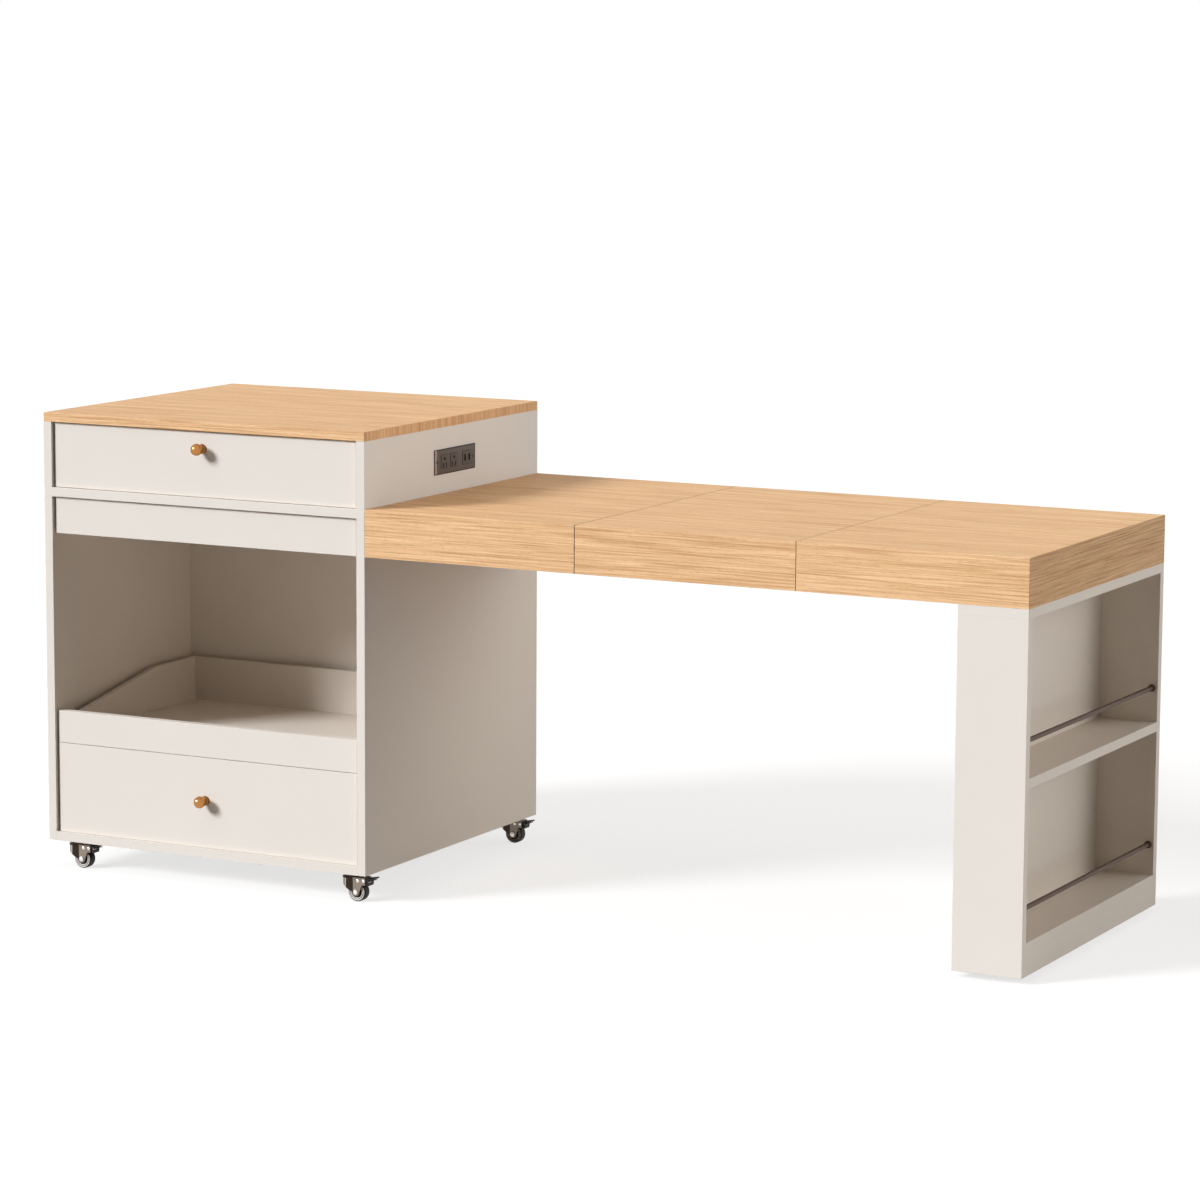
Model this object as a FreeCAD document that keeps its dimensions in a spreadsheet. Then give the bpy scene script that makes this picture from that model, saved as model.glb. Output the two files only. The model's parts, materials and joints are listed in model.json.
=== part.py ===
import FreeCAD, Part

import os
import re

import Sketcher

# Rolling kitchen island: a cabinet on casters, and an extension table whose far end stands on a leg unit.
# Lengths are in millimetres. The places below are first thought of from the cabinet's own corner:
# X to the right from its left side, Y back from the front edges of its sides, Z up from the floor.
# The origin of the finished part is at the middle of its footprint, on the floor.

# Driving sizes
SIZES = {
    # Cabinet
    "cabinet_width": 732,
    "cabinet_depth": 690,
    "table_height": 764.5,
    "upper_rise": 147.5,
    "panel": 18,
    "back_board": 12,
    "niche_gap": 11,
    "rear_space": 171,
    # Fronts, and the gaps round them
    "front_recess": 6.5,
    "front_thick": 18,
    "side_gap": 4.5,
    "floor_gap": 0.5,
    "seam_gap": 1,
    "slab_gap": 1.5,
    "deck_gap": 1.5,
    "false_front_height": 71.5,
    "tray_front_height": 63.8,
    "lower_front_height": 178.9,
    # Drawer boxes
    "drawer_board": 12,
    "drawer_floor": 6,
    "floor_rise": 4,
    "box_lift": 8,
    "upper_box_drop": 28,
    "lower_box_drop": 31.4,
    "tray_side_height": 99,
    "tray_low_height": 41.3,
    "tray_slope_run": 302.5,
    # Drawer runners
    "runner_gap": 13,
    "runner_height": 30,
    "runner_sheet": 1.5,
    "runner_channel": 9,
    "runner_play": 0.5,
    "runner_drop": 4,
    "runner_setback": 2,
    # Knobs
    "knob_radius": 11.8,
    "knob_projection": 33,
    "knob_collar_radius": 9.2,
    "knob_collar_thick": 4,
    "knob_neck_radius": 6,
    "knob_screw_radius": 2,
    "knob_screw_head_radius": 4.5,
    "knob_screw_head_thick": 2.5,
    "knob_screw_bite": 9,
    "upper_knob_drop": 33,
    "lower_knob_drop": 84.9,
    # Outlet in the right upper side
    "outlet_length": 160,
    "outlet_height": 49.5,
    "outlet_front": 266.2,
    "outlet_rise": 62.5,
    "outlet_thick": 2,
    "outlet_bevel_rise": 1,
    "outlet_end_bevel": 6,
    "outlet_edge_bevel": 2,
    "insert_proud": 0.6,
    "insert_depth": 12,
    "insert_height": 27,
    "socket_width": 28.5,
    "socket_one_offset": 36,
    "socket_two_offset": 72.8,
    "charger_width": 36,
    "charger_offset": 125,
    "ground_radius": 2.5,
    "ground_rise": 5.5,
    "slot_width": 2.2,
    "slot_height": 8.5,
    "slot_spacing": 12,
    "slot_drop": 7.5,
    "pin_hole_depth": 8,
    "port_width": 5.5,
    "port_height": 12.5,
    "port_spacing": 16.5,
    "port_depth": 9,
    "port_tongue": 1.8,
    "port_tongue_height": 9.5,
    "port_tongue_setback": 1,
    "outlet_box_wall": 1.5,
    "outlet_box_gap": 1.5,
    "outlet_box_rise": 4,
    "outlet_box_clearance": 1.5,
    "gland_clearance": 0.5,
    "gland_wall": 2.5,
    "gland_length": 12,
    "plate_screw_inset": 8.7,
    "plate_screw_radius": 1.75,
    "plate_screw_head_radius": 3.3,
    "plate_screw_head_thick": 1.2,
    "plate_screw_length": 14,
    # Extension table
    "section_length": 448.5,
    "section_seam": 1,
    "table_board": 18,
    "apron_height": 90.7,
    "bar_end_gap": 3,
    "channel_inset": 22,
    "channel_width": 26,
    "channel_height": 42,
    "channel_sheet": 2,
    "channel_play": 0.5,
    "channel_top_gap": 0.3,
    "channel_overlap": 418,
    "channel_setback": 3,
    "bar_setback": 4,
    "port_margin": 4,
    # Leg unit
    "leg_width": 134.5,
    "leg_lift": 12,
    "mid_shelf_height": 369.5,
    "low_shelf_height": 73,
    "rail_radius": 4,
    "rail_setback": 11,
    "mid_rail_rise": 65.5,
    "low_rail_rise": 59,
    "socket_radius": 7,
    "socket_length": 5,
    "foot_radius": 17,
    "foot_pad": 8,
    "foot_edge": 2,
    "foot_stem_radius": 5,
    "foot_flange_radius": 20,
    "foot_flange_thick": 4,
    "foot_inset": 110,
    # Casters
    "caster_inset_x": 48.5,
    "caster_inset_y": 30,
    "plate_width": 38,
    "plate_thick": 2,
    "plate_corner": 5,
    "race_radius": 12,
    "race_rise": 6,
    "race_gap": 0.3,
    "kingpin_radius": 4,
    "kingpin_head_radius": 7,
    "kingpin_head": 3.2,
    "pin_play": 0.08,
    "caster_screw_spread": 13,
    "caster_screw_radius": 1.75,
    "caster_screw_head_radius": 3.2,
    "caster_screw_head": 1.8,
    "caster_screw_length": 14,
    "fork_sheet": 2,
    "cheek_margin": 4,
    "flange_lip": 1.5,
    "skirt_margin": 3.5,
    "skirt_drop": 12,
    "cheek_drop": 14,
    "cheek_notch": 7.5,
    "hub_radius": 7.5,
    "wheel_radius": 19,
    "wheel_width": 18,
    "wheel_play": 1.5,
    "wheel_headroom": 8,
    "wheel_trail": 16.5,
    "tread_crown": 2,
    "rim_radius": 13.5,
    "rim_recess": 2,
    "wheel_hub_radius": 6,
    "axle_radius": 3,
    "axle_head_radius": 5.5,
    "axle_head": 3.5,
    "rivet_radius": 2.5,
    "rivet_head_radius": 3.2,
    "rivet_head": 1,
    "stop_rivet_radius": 2,
    "stop_rivet_lead": 4,
    "stop_rivet_drop": 4.5,
    "pivot_lead": 16.5,
    "pivot_drop": 4,
    "pedal_length": 21.5,
    "pedal_rise": 7,
    "pedal_thick": 2.4,
    "pedal_overhang": 0.5,
    "pedal_side_gap": 0.7,
    "pedal_front_gap": 0.8,
    # What every cut runs past the stock by
    "overrun": 2,
}

doc = FreeCAD.newDocument("kitchen_island")
sheet = doc.addObject("Spreadsheet::Sheet", "Sizes")
for row, (alias, number) in enumerate(SIZES.items(), start=1):
    sheet.set(f"A{row}", alias)
    sheet.set(f"B{row}", str(number))
    sheet.setAlias(f"B{row}", alias)
doc.recompute()

WORD = re.compile(r"[a-z][a-z_]*")

# A second sheet works out where each sketch's lines start before they are bound
rough_sheet = doc.addObject("Spreadsheet::Sheet", "Rough")
ROUGH_CELL = "A1"


def bound(formula):
    """Turn a formula in the sheet's words into an expression that reads the sheet."""
    return WORD.sub(lambda word: "Sizes." + word.group(0) if word.group(0) in SIZES else word.group(0),
                    str(formula))


# Derived places, as formulas in the same words
RIGHT = "cabinet_width"
INNER_RIGHT = "(cabinet_width - panel)"
INNER_WIDTH = "(cabinet_width - 2 * panel)"
CASTER_HEIGHT = "(2 * wheel_radius + wheel_headroom + fork_sheet + race_rise + plate_thick)"
SLAB_BOTTOM = "(table_height + upper_rise - panel)"
DECK_BOTTOM = "(table_height - panel)"
FLOOR_TOP = f"({CASTER_HEIGHT} + panel)"
FRONT_BACK = "(front_recess + front_thick)"
FALSE_BOTTOM = "(table_height - panel - deck_gap - false_front_height)"
LOWER_FRONT = f"({FLOOR_TOP} + floor_gap)"
TRAY_FRONT = f"({LOWER_FRONT} + lower_front_height + seam_gap)"
UPPER_FRONT = "(table_height + seam_gap)"
UPPER_FRONT_HEIGHT = f"({SLAB_BOTTOM} - slab_gap - {UPPER_FRONT})"
FRONT_WIDTH = f"({INNER_WIDTH} - 2 * side_gap)"
NICHE_END = "(cabinet_depth - 2 * back_board - rear_space)"
BOX_LEFT = "(panel + runner_gap)"
BOX_RIGHT = "(cabinet_width - panel - runner_gap)"
BOX_WIDTH = f"({INNER_WIDTH} - 2 * runner_gap)"
BOX_END = f"({NICHE_END} - niche_gap)"
DRAWER_LENGTH = f"({BOX_END} - {FRONT_BACK})"
UPPER_BOX = "(table_height + box_lift)"
UPPER_BOX_HEIGHT = f"({UPPER_FRONT} + {UPPER_FRONT_HEIGHT} - upper_box_drop - {UPPER_BOX})"
LOWER_BOX = f"({FLOOR_TOP} + box_lift)"
LOWER_BOX_HEIGHT = f"({LOWER_FRONT} + lower_front_height - lower_box_drop - {LOWER_BOX})"
TRAY_BOX = f"({TRAY_FRONT} + box_lift)"
KNOB_X = "(cabinet_width / 2)"
UPPER_KNOB = f"({UPPER_FRONT} + {UPPER_FRONT_HEIGHT} - upper_knob_drop)"
LOWER_KNOB = f"({LOWER_FRONT} + lower_front_height - lower_knob_drop)"
OUTLET_LEVEL = "(table_height + outlet_rise)"
APRON_BOTTOM = "(table_height - apron_height)"
BOARD_BOTTOM = "(table_height - table_board)"
LEAF_START = "(cabinet_width + section_length + section_seam)"
END_START = f"({LEAF_START} + section_length + section_seam)"
TABLE_END = f"({END_START} + section_length)"
BAR_TOP = f"({BOARD_BOTTOM} - channel_top_gap - channel_sheet - channel_play)"
BAR_HEIGHT = "(channel_height - 2 * channel_sheet - 2 * channel_play)"
CHANNEL_NEAR = "(table_board + channel_inset)"
CHANNEL_BOTTOM = f"({BOARD_BOTTOM} - channel_top_gap - channel_height)"
CHANNEL_START = f"(cabinet_width + section_length - bar_setback - channel_overlap)"
LEG_START = f"({TABLE_END} - leg_width)"
LEG_TOP = f"({APRON_BOTTOM} - panel)"
FOOT_X = f"({LEG_START} + leg_width / 2)"

# The finished part's origin, seen from the cabinet's corner
SHIFT_X = f"(-{TABLE_END} / 2)"
SHIFT_Y = "(-(cabinet_depth + front_recess - knob_projection) / 2)"

NODES = []


def place(piece, x=0, y=0, z=0):
    """Bind a piece's place, given from the cabinet's corner, to the sheet."""
    piece.setExpression(".Placement.Base.x", bound(f"{SHIFT_X} + {x}"))
    piece.setExpression(".Placement.Base.y", bound(f"{SHIFT_Y} + {y}"))
    piece.setExpression(".Placement.Base.z", bound(z))
    return piece


def local(piece, x=0, y=0, z=0):
    """Bind a piece's place in its parent's own coordinates."""
    piece.setExpression(".Placement.Base.x", bound(x))
    piece.setExpression(".Placement.Base.y", bound(y))
    piece.setExpression(".Placement.Base.z", bound(z))
    return piece


def turn(piece, axis, degrees):
    """Turn a piece about its own origin."""
    piece.Placement = FreeCAD.Placement(FreeCAD.Vector(), FreeCAD.Rotation(axis, degrees))
    return piece


X_AXIS = FreeCAD.Vector(1, 0, 0)
Y_AXIS = FreeCAD.Vector(0, 1, 0)
Z_AXIS = FreeCAD.Vector(0, 0, 1)
QUARTER = 90


def block(name, length, width, height):
    """A board: X length, Y width and Z height, from formulas."""
    piece = doc.addObject("Part::Box", name)
    piece.setExpression("Length", bound(length))
    piece.setExpression("Width", bound(width))
    piece.setExpression("Height", bound(height))
    return piece


def board(name, corner, extent):
    """A board with its lowest corner placed from the cabinet's corner."""
    return place(block(name, *extent), *corner)


def rod(name, radius, length):
    """A round bar along its own Z."""
    piece = doc.addObject("Part::Cylinder", name)
    piece.setExpression("Radius", bound(radius))
    piece.setExpression("Height", bound(length))
    return piece


def cut(name, base, tool):
    """Cut a tool, or several, out of a base."""
    piece = doc.addObject("Part::Cut", name)
    piece.Base = base
    piece.Tool = tool if not isinstance(tool, list) else fuse(name + "_tools", tool)
    return piece


def fuse(name, pieces):
    """One solid from touching pieces, or one tool from loose ones."""
    piece = doc.addObject("Part::MultiFuse", name)
    piece.Shapes = pieces
    return piece


def common(name, pieces):
    """What several pieces share."""
    piece = doc.addObject("Part::MultiCommon", name)
    piece.Shapes = pieces
    return piece


def group(name, pieces):
    """A node of separate solids."""
    piece = doc.addObject("Part::Compound", name)
    piece.Links = pieces
    return piece


def node(name, piece):
    """Name a piece as a sub-part of the finished island."""
    piece.Label = name
    NODES.append(piece)
    return piece


def outline(body, plane_role, points):
    """A closed sketch on one of a body's planes, each corner bound to its formulas."""
    plane = next(feature for feature in body.Origin.OriginFeatures if feature.Role == plane_role)
    sketch = body.newObject("Sketcher::SketchObject", body.Name + "_outline")
    sketch.AttachmentSupport = [(plane, "")]
    sketch.MapMode = "FlatFace"
    rough = [FreeCAD.Vector(worked_out(across), worked_out(along), 0) for across, along in points]
    for index, start in enumerate(rough):
        sketch.addGeometry(Part.LineSegment(start, rough[(index + 1) % len(rough)]), False)
    for index in range(len(rough)):
        following = (index + 1) % len(rough)
        sketch.addConstraint(Sketcher.Constraint("Coincident", index, 2, following, 1))
    for index, (across, along) in enumerate(points):
        place_x = sketch.addConstraint(
            Sketcher.Constraint("DistanceX", -1, 1, index, 1, rough[index].x))
        place_y = sketch.addConstraint(
            Sketcher.Constraint("DistanceY", -1, 1, index, 1, rough[index].y))
        sketch.setExpression(f"Constraints[{place_x}]", bound(across))
        sketch.setExpression(f"Constraints[{place_y}]", bound(along))
    return sketch


def worked_out(formula):
    """The present number of a formula, worked out by the second sheet."""
    rough_sheet.set(ROUGH_CELL, f"={bound(formula)}")
    rough_sheet.recompute()
    return float(rough_sheet.get(ROUGH_CELL))


def padded(name, plane_role, points, thick, both_ways=False):
    """A flat outline given a thickness, as its own body."""
    body = doc.addObject("PartDesign::Body", name)
    sketch = outline(body, plane_role, points)
    pad = body.newObject("PartDesign::Pad", name + "_pad")
    pad.Profile = sketch
    pad.Midplane = both_ways
    pad.setExpression("Length", bound(thick))
    doc.recompute()
    return body


def turned(name, points):
    """An outline of radius and height, turned a full circle about the body's own Z."""
    body = doc.addObject("PartDesign::Body", name)
    sketch = outline(body, "XZ_Plane", points)
    axis = next(feature for feature in body.Origin.OriginFeatures if feature.Role == "Z_Axis")
    revolution = body.newObject("PartDesign::Revolution", name + "_turn")
    revolution.Profile = sketch
    revolution.ReferenceAxis = (axis, [""])
    doc.recompute()
    return body


def wedge(name, thick, outer, inner):
    """A board with slanting edges. It is laid out in its own X and Z, and Y goes through its thickness:
    outer and inner are the low and high X and the low and high Z of its faces at Y 0 and at Y thick."""
    piece = doc.addObject("Part::Wedge", name)
    faces = dict(zip(("Xmin", "Xmax", "Zmin", "Zmax"), outer))
    faces.update(zip(("X2min", "X2max", "Z2min", "Z2max"), inner))
    faces.update({"Ymin": 0, "Ymax": thick})
    for side, formula in faces.items():
        piece.setExpression(side, bound(formula))
    return piece


# Cabinet panels
node("cabinet_top", board("cabinet_top", (0, 0, SLAB_BOTTOM), (RIGHT, "cabinet_depth", "panel")))

SIDE_TALL = f"({SLAB_BOTTOM} - table_height)"
upper_left = board("upper_side_left", (0, 0, "table_height"), ("panel", "cabinet_depth", SIDE_TALL))
upper_right_stock = board("upper_side_right_stock", (INNER_RIGHT, 0, "table_height"),
                          ("panel", "cabinet_depth", SIDE_TALL))

# The outlet's box goes round its inserts, through the right side
OUTLET_BOX_MARGIN = "(outlet_box_gap + outlet_box_wall)"
OUTLET_BOX_START = f"(outlet_front + socket_one_offset - socket_width / 2 - {OUTLET_BOX_MARGIN})"
OUTLET_BOX_END = f"(outlet_front + charger_offset + charger_width / 2 + {OUTLET_BOX_MARGIN})"
OUTLET_BOX_LENGTH = f"({OUTLET_BOX_END} - {OUTLET_BOX_START})"
OUTLET_BOX_HEIGHT = "(insert_height + 2 * outlet_box_rise + 2 * outlet_box_wall)"
OUTLET_BOX_BOTTOM = f"({OUTLET_LEVEL} - {OUTLET_BOX_HEIGHT} / 2)"
OUTLET_BOX_DEPTH = "(panel + runner_gap - outlet_box_clearance)"
box_opening = board("outlet_box_opening", (f"{INNER_RIGHT} - overrun", OUTLET_BOX_START, OUTLET_BOX_BOTTOM),
                    ("panel + 2 * overrun", OUTLET_BOX_LENGTH, OUTLET_BOX_HEIGHT))


def along_x(name, radius, length, x, y, z):
    """A round bar along X, from its left end's middle."""
    return place(turn(rod(name, radius, length), Y_AXIS, QUARTER), x, y, z)


def along_y(name, radius, length, x, y, z):
    """A round bar along Y, from its front end's middle."""
    return place(turn(rod(name, radius, length), X_AXIS, -QUARTER), x, y, z)


PLATE_SCREWS = {
    "front": "(outlet_front + plate_screw_inset)",
    "rear": "(outlet_front + outlet_length - plate_screw_inset)",
}
PLATE_FACE = "(cabinet_width + outlet_thick + outlet_bevel_rise)"
SHANK_START = f"({PLATE_FACE} - plate_screw_length)"


def plate_screw_shank(name, y):
    """The shank of one of the outlet plate's screws."""
    return along_x(name, "plate_screw_radius", "plate_screw_length", SHANK_START, y, OUTLET_LEVEL)


screw_holes = [plate_screw_shank(f"side_screw_hole_{end}", y) for end, y in PLATE_SCREWS.items()]
upper_right = cut("upper_side_right", upper_right_stock, [box_opening] + screw_holes)
node("upper_sides", group("upper_sides", [upper_left, upper_right]))

BACK_FRONT = "(cabinet_depth - back_board)"
node("cabinet_back", board("cabinet_back", ("panel", BACK_FRONT, CASTER_HEIGHT),
                           (INNER_WIDTH, "back_board", f"{SLAB_BOTTOM} - {CASTER_HEIGHT}")))

deck_stock = board("deck_stock", (0, 0, DECK_BOTTOM), (RIGHT, "cabinet_depth", "panel"))
deck_notch = board("deck_notch", ("panel", BACK_FRONT, f"{DECK_BOTTOM} - overrun"),
                   (INNER_WIDTH, "back_board + overrun", "panel + 2 * overrun"))
node("deck_panel", cut("deck_panel", deck_stock, deck_notch))

LOWER_TALL = f"({DECK_BOTTOM} - {CASTER_HEIGHT})"
lower_left = board("lower_side_left", (0, 0, CASTER_HEIGHT), ("panel", "cabinet_depth", LOWER_TALL))
lower_right_stock = board("lower_side_right_stock", (INNER_RIGHT, 0, CASTER_HEIGHT),
                          ("panel", "cabinet_depth", LOWER_TALL))
PORT_WIDTH = "(channel_width + 2 * port_margin)"
PORT_STARTS = {
    "front": f"({CHANNEL_NEAR} - port_margin)",
    "rear": f"(cabinet_depth - {CHANNEL_NEAR} - channel_width - port_margin)",
}
runner_ports = [
    board(f"runner_port_{end}", (f"{INNER_RIGHT} - overrun", y, f"{CHANNEL_BOTTOM} - port_margin"),
          ("panel + 2 * overrun", PORT_WIDTH, "channel_height + 2 * port_margin"))
    for end, y in PORT_STARTS.items()
]
lower_right = cut("lower_side_right", lower_right_stock, runner_ports)
node("lower_sides", group("lower_sides", [lower_left, lower_right]))

FRONT_LEFT = "(panel + side_gap)"


def front_board(name, z, tall):
    """One of the boards that fill the front between the sides."""
    return board(name, (FRONT_LEFT, "front_recess", z), (FRONT_WIDTH, "front_thick", tall))


node("false_front", front_board("false_front", FALSE_BOTTOM, "false_front_height"))
node("niche_ceiling", board("niche_ceiling", ("panel", FRONT_BACK, FALSE_BOTTOM),
                            (INNER_WIDTH, f"{BACK_FRONT} - {FRONT_BACK}", "panel")))
node("niche_back", board("niche_back", ("panel", NICHE_END, FLOOR_TOP),
                         (INNER_WIDTH, "back_board", f"{FALSE_BOTTOM} - {FLOOR_TOP}")))

# Casters stand the same distance in from each corner
CASTERS = {
    "front_left": ("caster_inset_x", "caster_inset_y"),
    "front_right": ("(cabinet_width - caster_inset_x)", "caster_inset_y"),
    "rear_left": ("caster_inset_x", "(cabinet_depth - caster_inset_y)"),
    "rear_right": ("(cabinet_width - caster_inset_x)", "(cabinet_depth - caster_inset_y)"),
}
CORNERS = {"a": (-1, -1), "b": (1, -1), "c": (-1, 1), "d": (1, 1)}
PLATE_BOTTOM = f"({CASTER_HEIGHT} - plate_thick)"


def at_screw(piece, caster, corner):
    """Put an upright piece on one screw of one caster, from the plate's underside."""
    x, y = CASTERS[caster]
    right, back = CORNERS[corner]
    return place(piece, f"{x} + {right} * caster_screw_spread", f"{y} + {back} * caster_screw_spread",
                 PLATE_BOTTOM)


def screw_shanks(purpose, caster):
    """The four screw shanks of a caster."""
    return [
        at_screw(rod(f"{purpose}_{caster}_{corner}", "caster_screw_radius", "caster_screw_length"),
                 caster, corner)
        for corner in CORNERS
    ]


bottom_stock = board("bottom_stock", ("panel", 0, CASTER_HEIGHT), (INNER_WIDTH, BACK_FRONT, "panel"))
pilot_holes = [hole for caster in CASTERS for hole in screw_shanks("pilot_hole", caster)]
node("bottom_panel", cut("bottom_panel", bottom_stock, pilot_holes))

# Outlet plate, with two sockets and a two-port charger
plate_base = board("plate_base", (RIGHT, "outlet_front", f"{OUTLET_LEVEL} - outlet_height / 2"),
                   ("outlet_thick", "outlet_length", "outlet_height"))
plate_bevel = wedge(
    "plate_bevel", "outlet_bevel_rise",
    ("-outlet_length", 0, 0, "outlet_height"),
    ("outlet_end_bevel - outlet_length", "-outlet_end_bevel",
     "outlet_edge_bevel", "outlet_height - outlet_edge_bevel"))
place(turn(plate_bevel, Z_AXIS, -QUARTER), f"{RIGHT} + outlet_thick", "outlet_front",
      f"{OUTLET_LEVEL} - outlet_height / 2")
INSERT_BACK = "(cabinet_width - insert_depth)"
INSERT_FACE = f"({PLATE_FACE} + insert_proud)"
INSERTS = {
    "socket_one": ("(outlet_front + socket_one_offset)", "socket_width"),
    "socket_two": ("(outlet_front + socket_two_offset)", "socket_width"),
    "charger": ("(outlet_front + charger_offset)", "charger_width"),
}


def insert_block(name, insert):
    """The outer block of one insert."""
    middle, wide = INSERTS[insert]
    return board(name, (INSERT_BACK, f"{middle} - {wide} / 2", f"{OUTLET_LEVEL} - insert_height / 2"),
                 (f"{INSERT_FACE} - {INSERT_BACK}", wide, "insert_height"))


def face_slot(name, middle, height_middle, wide, tall, deep):
    """A slot cut back from the inserts' face."""
    return board(name, (f"{INSERT_FACE} - {deep}", f"{middle} - {wide} / 2",
                        f"{height_middle} - {tall} / 2"), (f"{deep} + overrun", wide, tall))


def socket(insert):
    """A socket block: a round hole above two slots."""
    middle = INSERTS[insert][0]
    slot_middle = f"({OUTLET_LEVEL} - slot_drop)"
    ground = along_x(f"{insert}_ground", "ground_radius", "pin_hole_depth + overrun",
                     f"{INSERT_FACE} - pin_hole_depth", middle, f"{OUTLET_LEVEL} + ground_rise")
    slots = [
        face_slot(f"{insert}_slot_{side}", f"({middle} {sign} slot_spacing / 2)", slot_middle,
                  "slot_width", "slot_height", "pin_hole_depth")
        for side, sign in (("near", "-"), ("far", "+"))
    ]
    return cut(insert, insert_block(insert + "_block", insert), [ground] + slots)


def charger():
    """The charging block: two upright ports, each with its tongue."""
    middle = INSERTS["charger"][0]
    ports = []
    for side, sign in (("near", "-"), ("far", "+")):
        port_middle = f"({middle} {sign} port_spacing / 2)"
        hollow = face_slot(f"port_{side}_hollow", port_middle, OUTLET_LEVEL,
                           "port_width", "port_height", "port_depth")
        tongue = board(f"port_{side}_tongue",
                       (f"{INSERT_FACE} - port_depth - overrun", f"{port_middle} - port_tongue / 2",
                        f"{OUTLET_LEVEL} - port_tongue_height / 2"),
                       ("port_depth + overrun - port_tongue_setback", "port_tongue", "port_tongue_height"))
        ports.append(cut(f"port_{side}", hollow, tongue))
    return cut("charger", insert_block("charger_block", "charger"), ports)


windows = [insert_block(f"{insert}_window", insert) for insert in INSERTS]
plate_holes = [plate_screw_shank(f"plate_hole_{end}", y) for end, y in PLATE_SCREWS.items()]
plate = cut("plate", fuse("plate_stock", [plate_base, plate_bevel]), windows + plate_holes)
plate_screws = [
    fuse(f"plate_screw_{end}", [
        plate_screw_shank(f"plate_shank_{end}", y),
        along_x(f"plate_head_{end}", "plate_screw_head_radius", "plate_screw_head_thick",
                PLATE_FACE, y, OUTLET_LEVEL),
    ])
    for end, y in PLATE_SCREWS.items()
]
node("outlet_plate", group("outlet_plate", [plate] + plate_screws))
node("outlet_inserts", group("outlet_inserts", [socket("socket_one"), socket("socket_two"), charger()]))

OUTLET_BOX_LEFT = f"({RIGHT} - {OUTLET_BOX_DEPTH})"
box_outside = board("box_outside", (OUTLET_BOX_LEFT, OUTLET_BOX_START, OUTLET_BOX_BOTTOM),
                    (OUTLET_BOX_DEPTH, OUTLET_BOX_LENGTH, OUTLET_BOX_HEIGHT))
box_inside = board("box_inside",
                   (f"{OUTLET_BOX_LEFT} + outlet_box_wall", f"{OUTLET_BOX_START} + outlet_box_wall",
                    f"{OUTLET_BOX_BOTTOM} + outlet_box_wall"),
                   (OUTLET_BOX_DEPTH, f"{OUTLET_BOX_LENGTH} - 2 * outlet_box_wall",
                    f"{OUTLET_BOX_HEIGHT} - 2 * outlet_box_wall"))
GLAND_RADIUS = "((runner_gap - outlet_box_clearance - gland_clearance) / 2)"
GLAND_X = f"({OUTLET_BOX_LEFT} + {GLAND_RADIUS})"
gland = along_y("gland", GLAND_RADIUS, "gland_length", GLAND_X, OUTLET_BOX_END, OUTLET_LEVEL)
gland_bore = along_y("gland_bore", f"{GLAND_RADIUS} - gland_wall",
                     "gland_length + outlet_box_wall + 2 * overrun", GLAND_X,
                     f"{OUTLET_BOX_END} - outlet_box_wall - overrun", OUTLET_LEVEL)
node("outlet_box", cut("outlet_box", fuse("box_with_gland", [box_outside, gland]), [box_inside, gland_bore]))


# Drawers and tray
RUNNER_START = f"({FRONT_BACK} + runner_setback)"
RUNNER_LENGTH = f"({DRAWER_LENGTH} - runner_setback)"
SLIDE_LEFT = "(panel + runner_sheet + 2 * runner_play)"
SLIDE_WIDTH = f"({BOX_LEFT} - {SLIDE_LEFT})"
SLIDE_HEIGHT = "(runner_height - 2 * runner_sheet - 2 * runner_play)"


def channel(name, open_right, x, wide, z, tall):
    """A thin channel along Y, open to the right or to the left."""
    outside = board(name + "_outside", (x, RUNNER_START, z), (wide, RUNNER_LENGTH, tall))
    hollow_x = f"{x} + runner_sheet" if open_right else f"{x} - overrun"
    hollow = board(name + "_hollow", (hollow_x, f"{RUNNER_START} - overrun", f"{z} + runner_sheet"),
                   (f"{wide} - runner_sheet + overrun", f"{RUNNER_LENGTH} + 2 * overrun",
                    f"{tall} - 2 * runner_sheet"))
    return cut(name, outside, hollow)


def runner_rails(level, box):
    """The pair of channels screwed to the cabinet's sides."""
    bottom = f"({box} - runner_drop)"
    return [
        channel(f"{level}_rail_left", True, "panel", "runner_channel", bottom, "runner_height"),
        channel(f"{level}_rail_right", False, f"({INNER_RIGHT} - runner_channel)", "runner_channel",
                bottom, "runner_height"),
    ]


def slide_members(level, box):
    """The pair of members screwed to a drawer's sides, which run inside the cabinet's channels."""
    bottom = f"({box} - runner_drop + runner_sheet + runner_play)"
    return [
        channel(f"{level}_member_left", False, SLIDE_LEFT, SLIDE_WIDTH, bottom, SLIDE_HEIGHT),
        channel(f"{level}_member_right", True, BOX_RIGHT, SLIDE_WIDTH, bottom, SLIDE_HEIGHT),
    ]


BOX_INSIDE = f"({BOX_WIDTH} - 2 * drawer_board)"
BOX_BACK = f"({BOX_END} - drawer_board)"


def drawer_shell(level, box, tall):
    """The back, the floor and the slide members that every drawer has."""
    inside_left = f"({BOX_LEFT} + drawer_board)"
    node(f"{level}_back", board(f"{level}_back", (inside_left, BOX_BACK, box),
                                (BOX_INSIDE, "drawer_board", tall)))
    node(f"{level}_bottom", board(f"{level}_bottom", (inside_left, FRONT_BACK, f"{box} + floor_rise"),
                                  (BOX_INSIDE, f"{BOX_BACK} - {FRONT_BACK}", "drawer_floor")))
    node(f"{level}_slides", group(f"{level}_slides", slide_members(level, box)))


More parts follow.
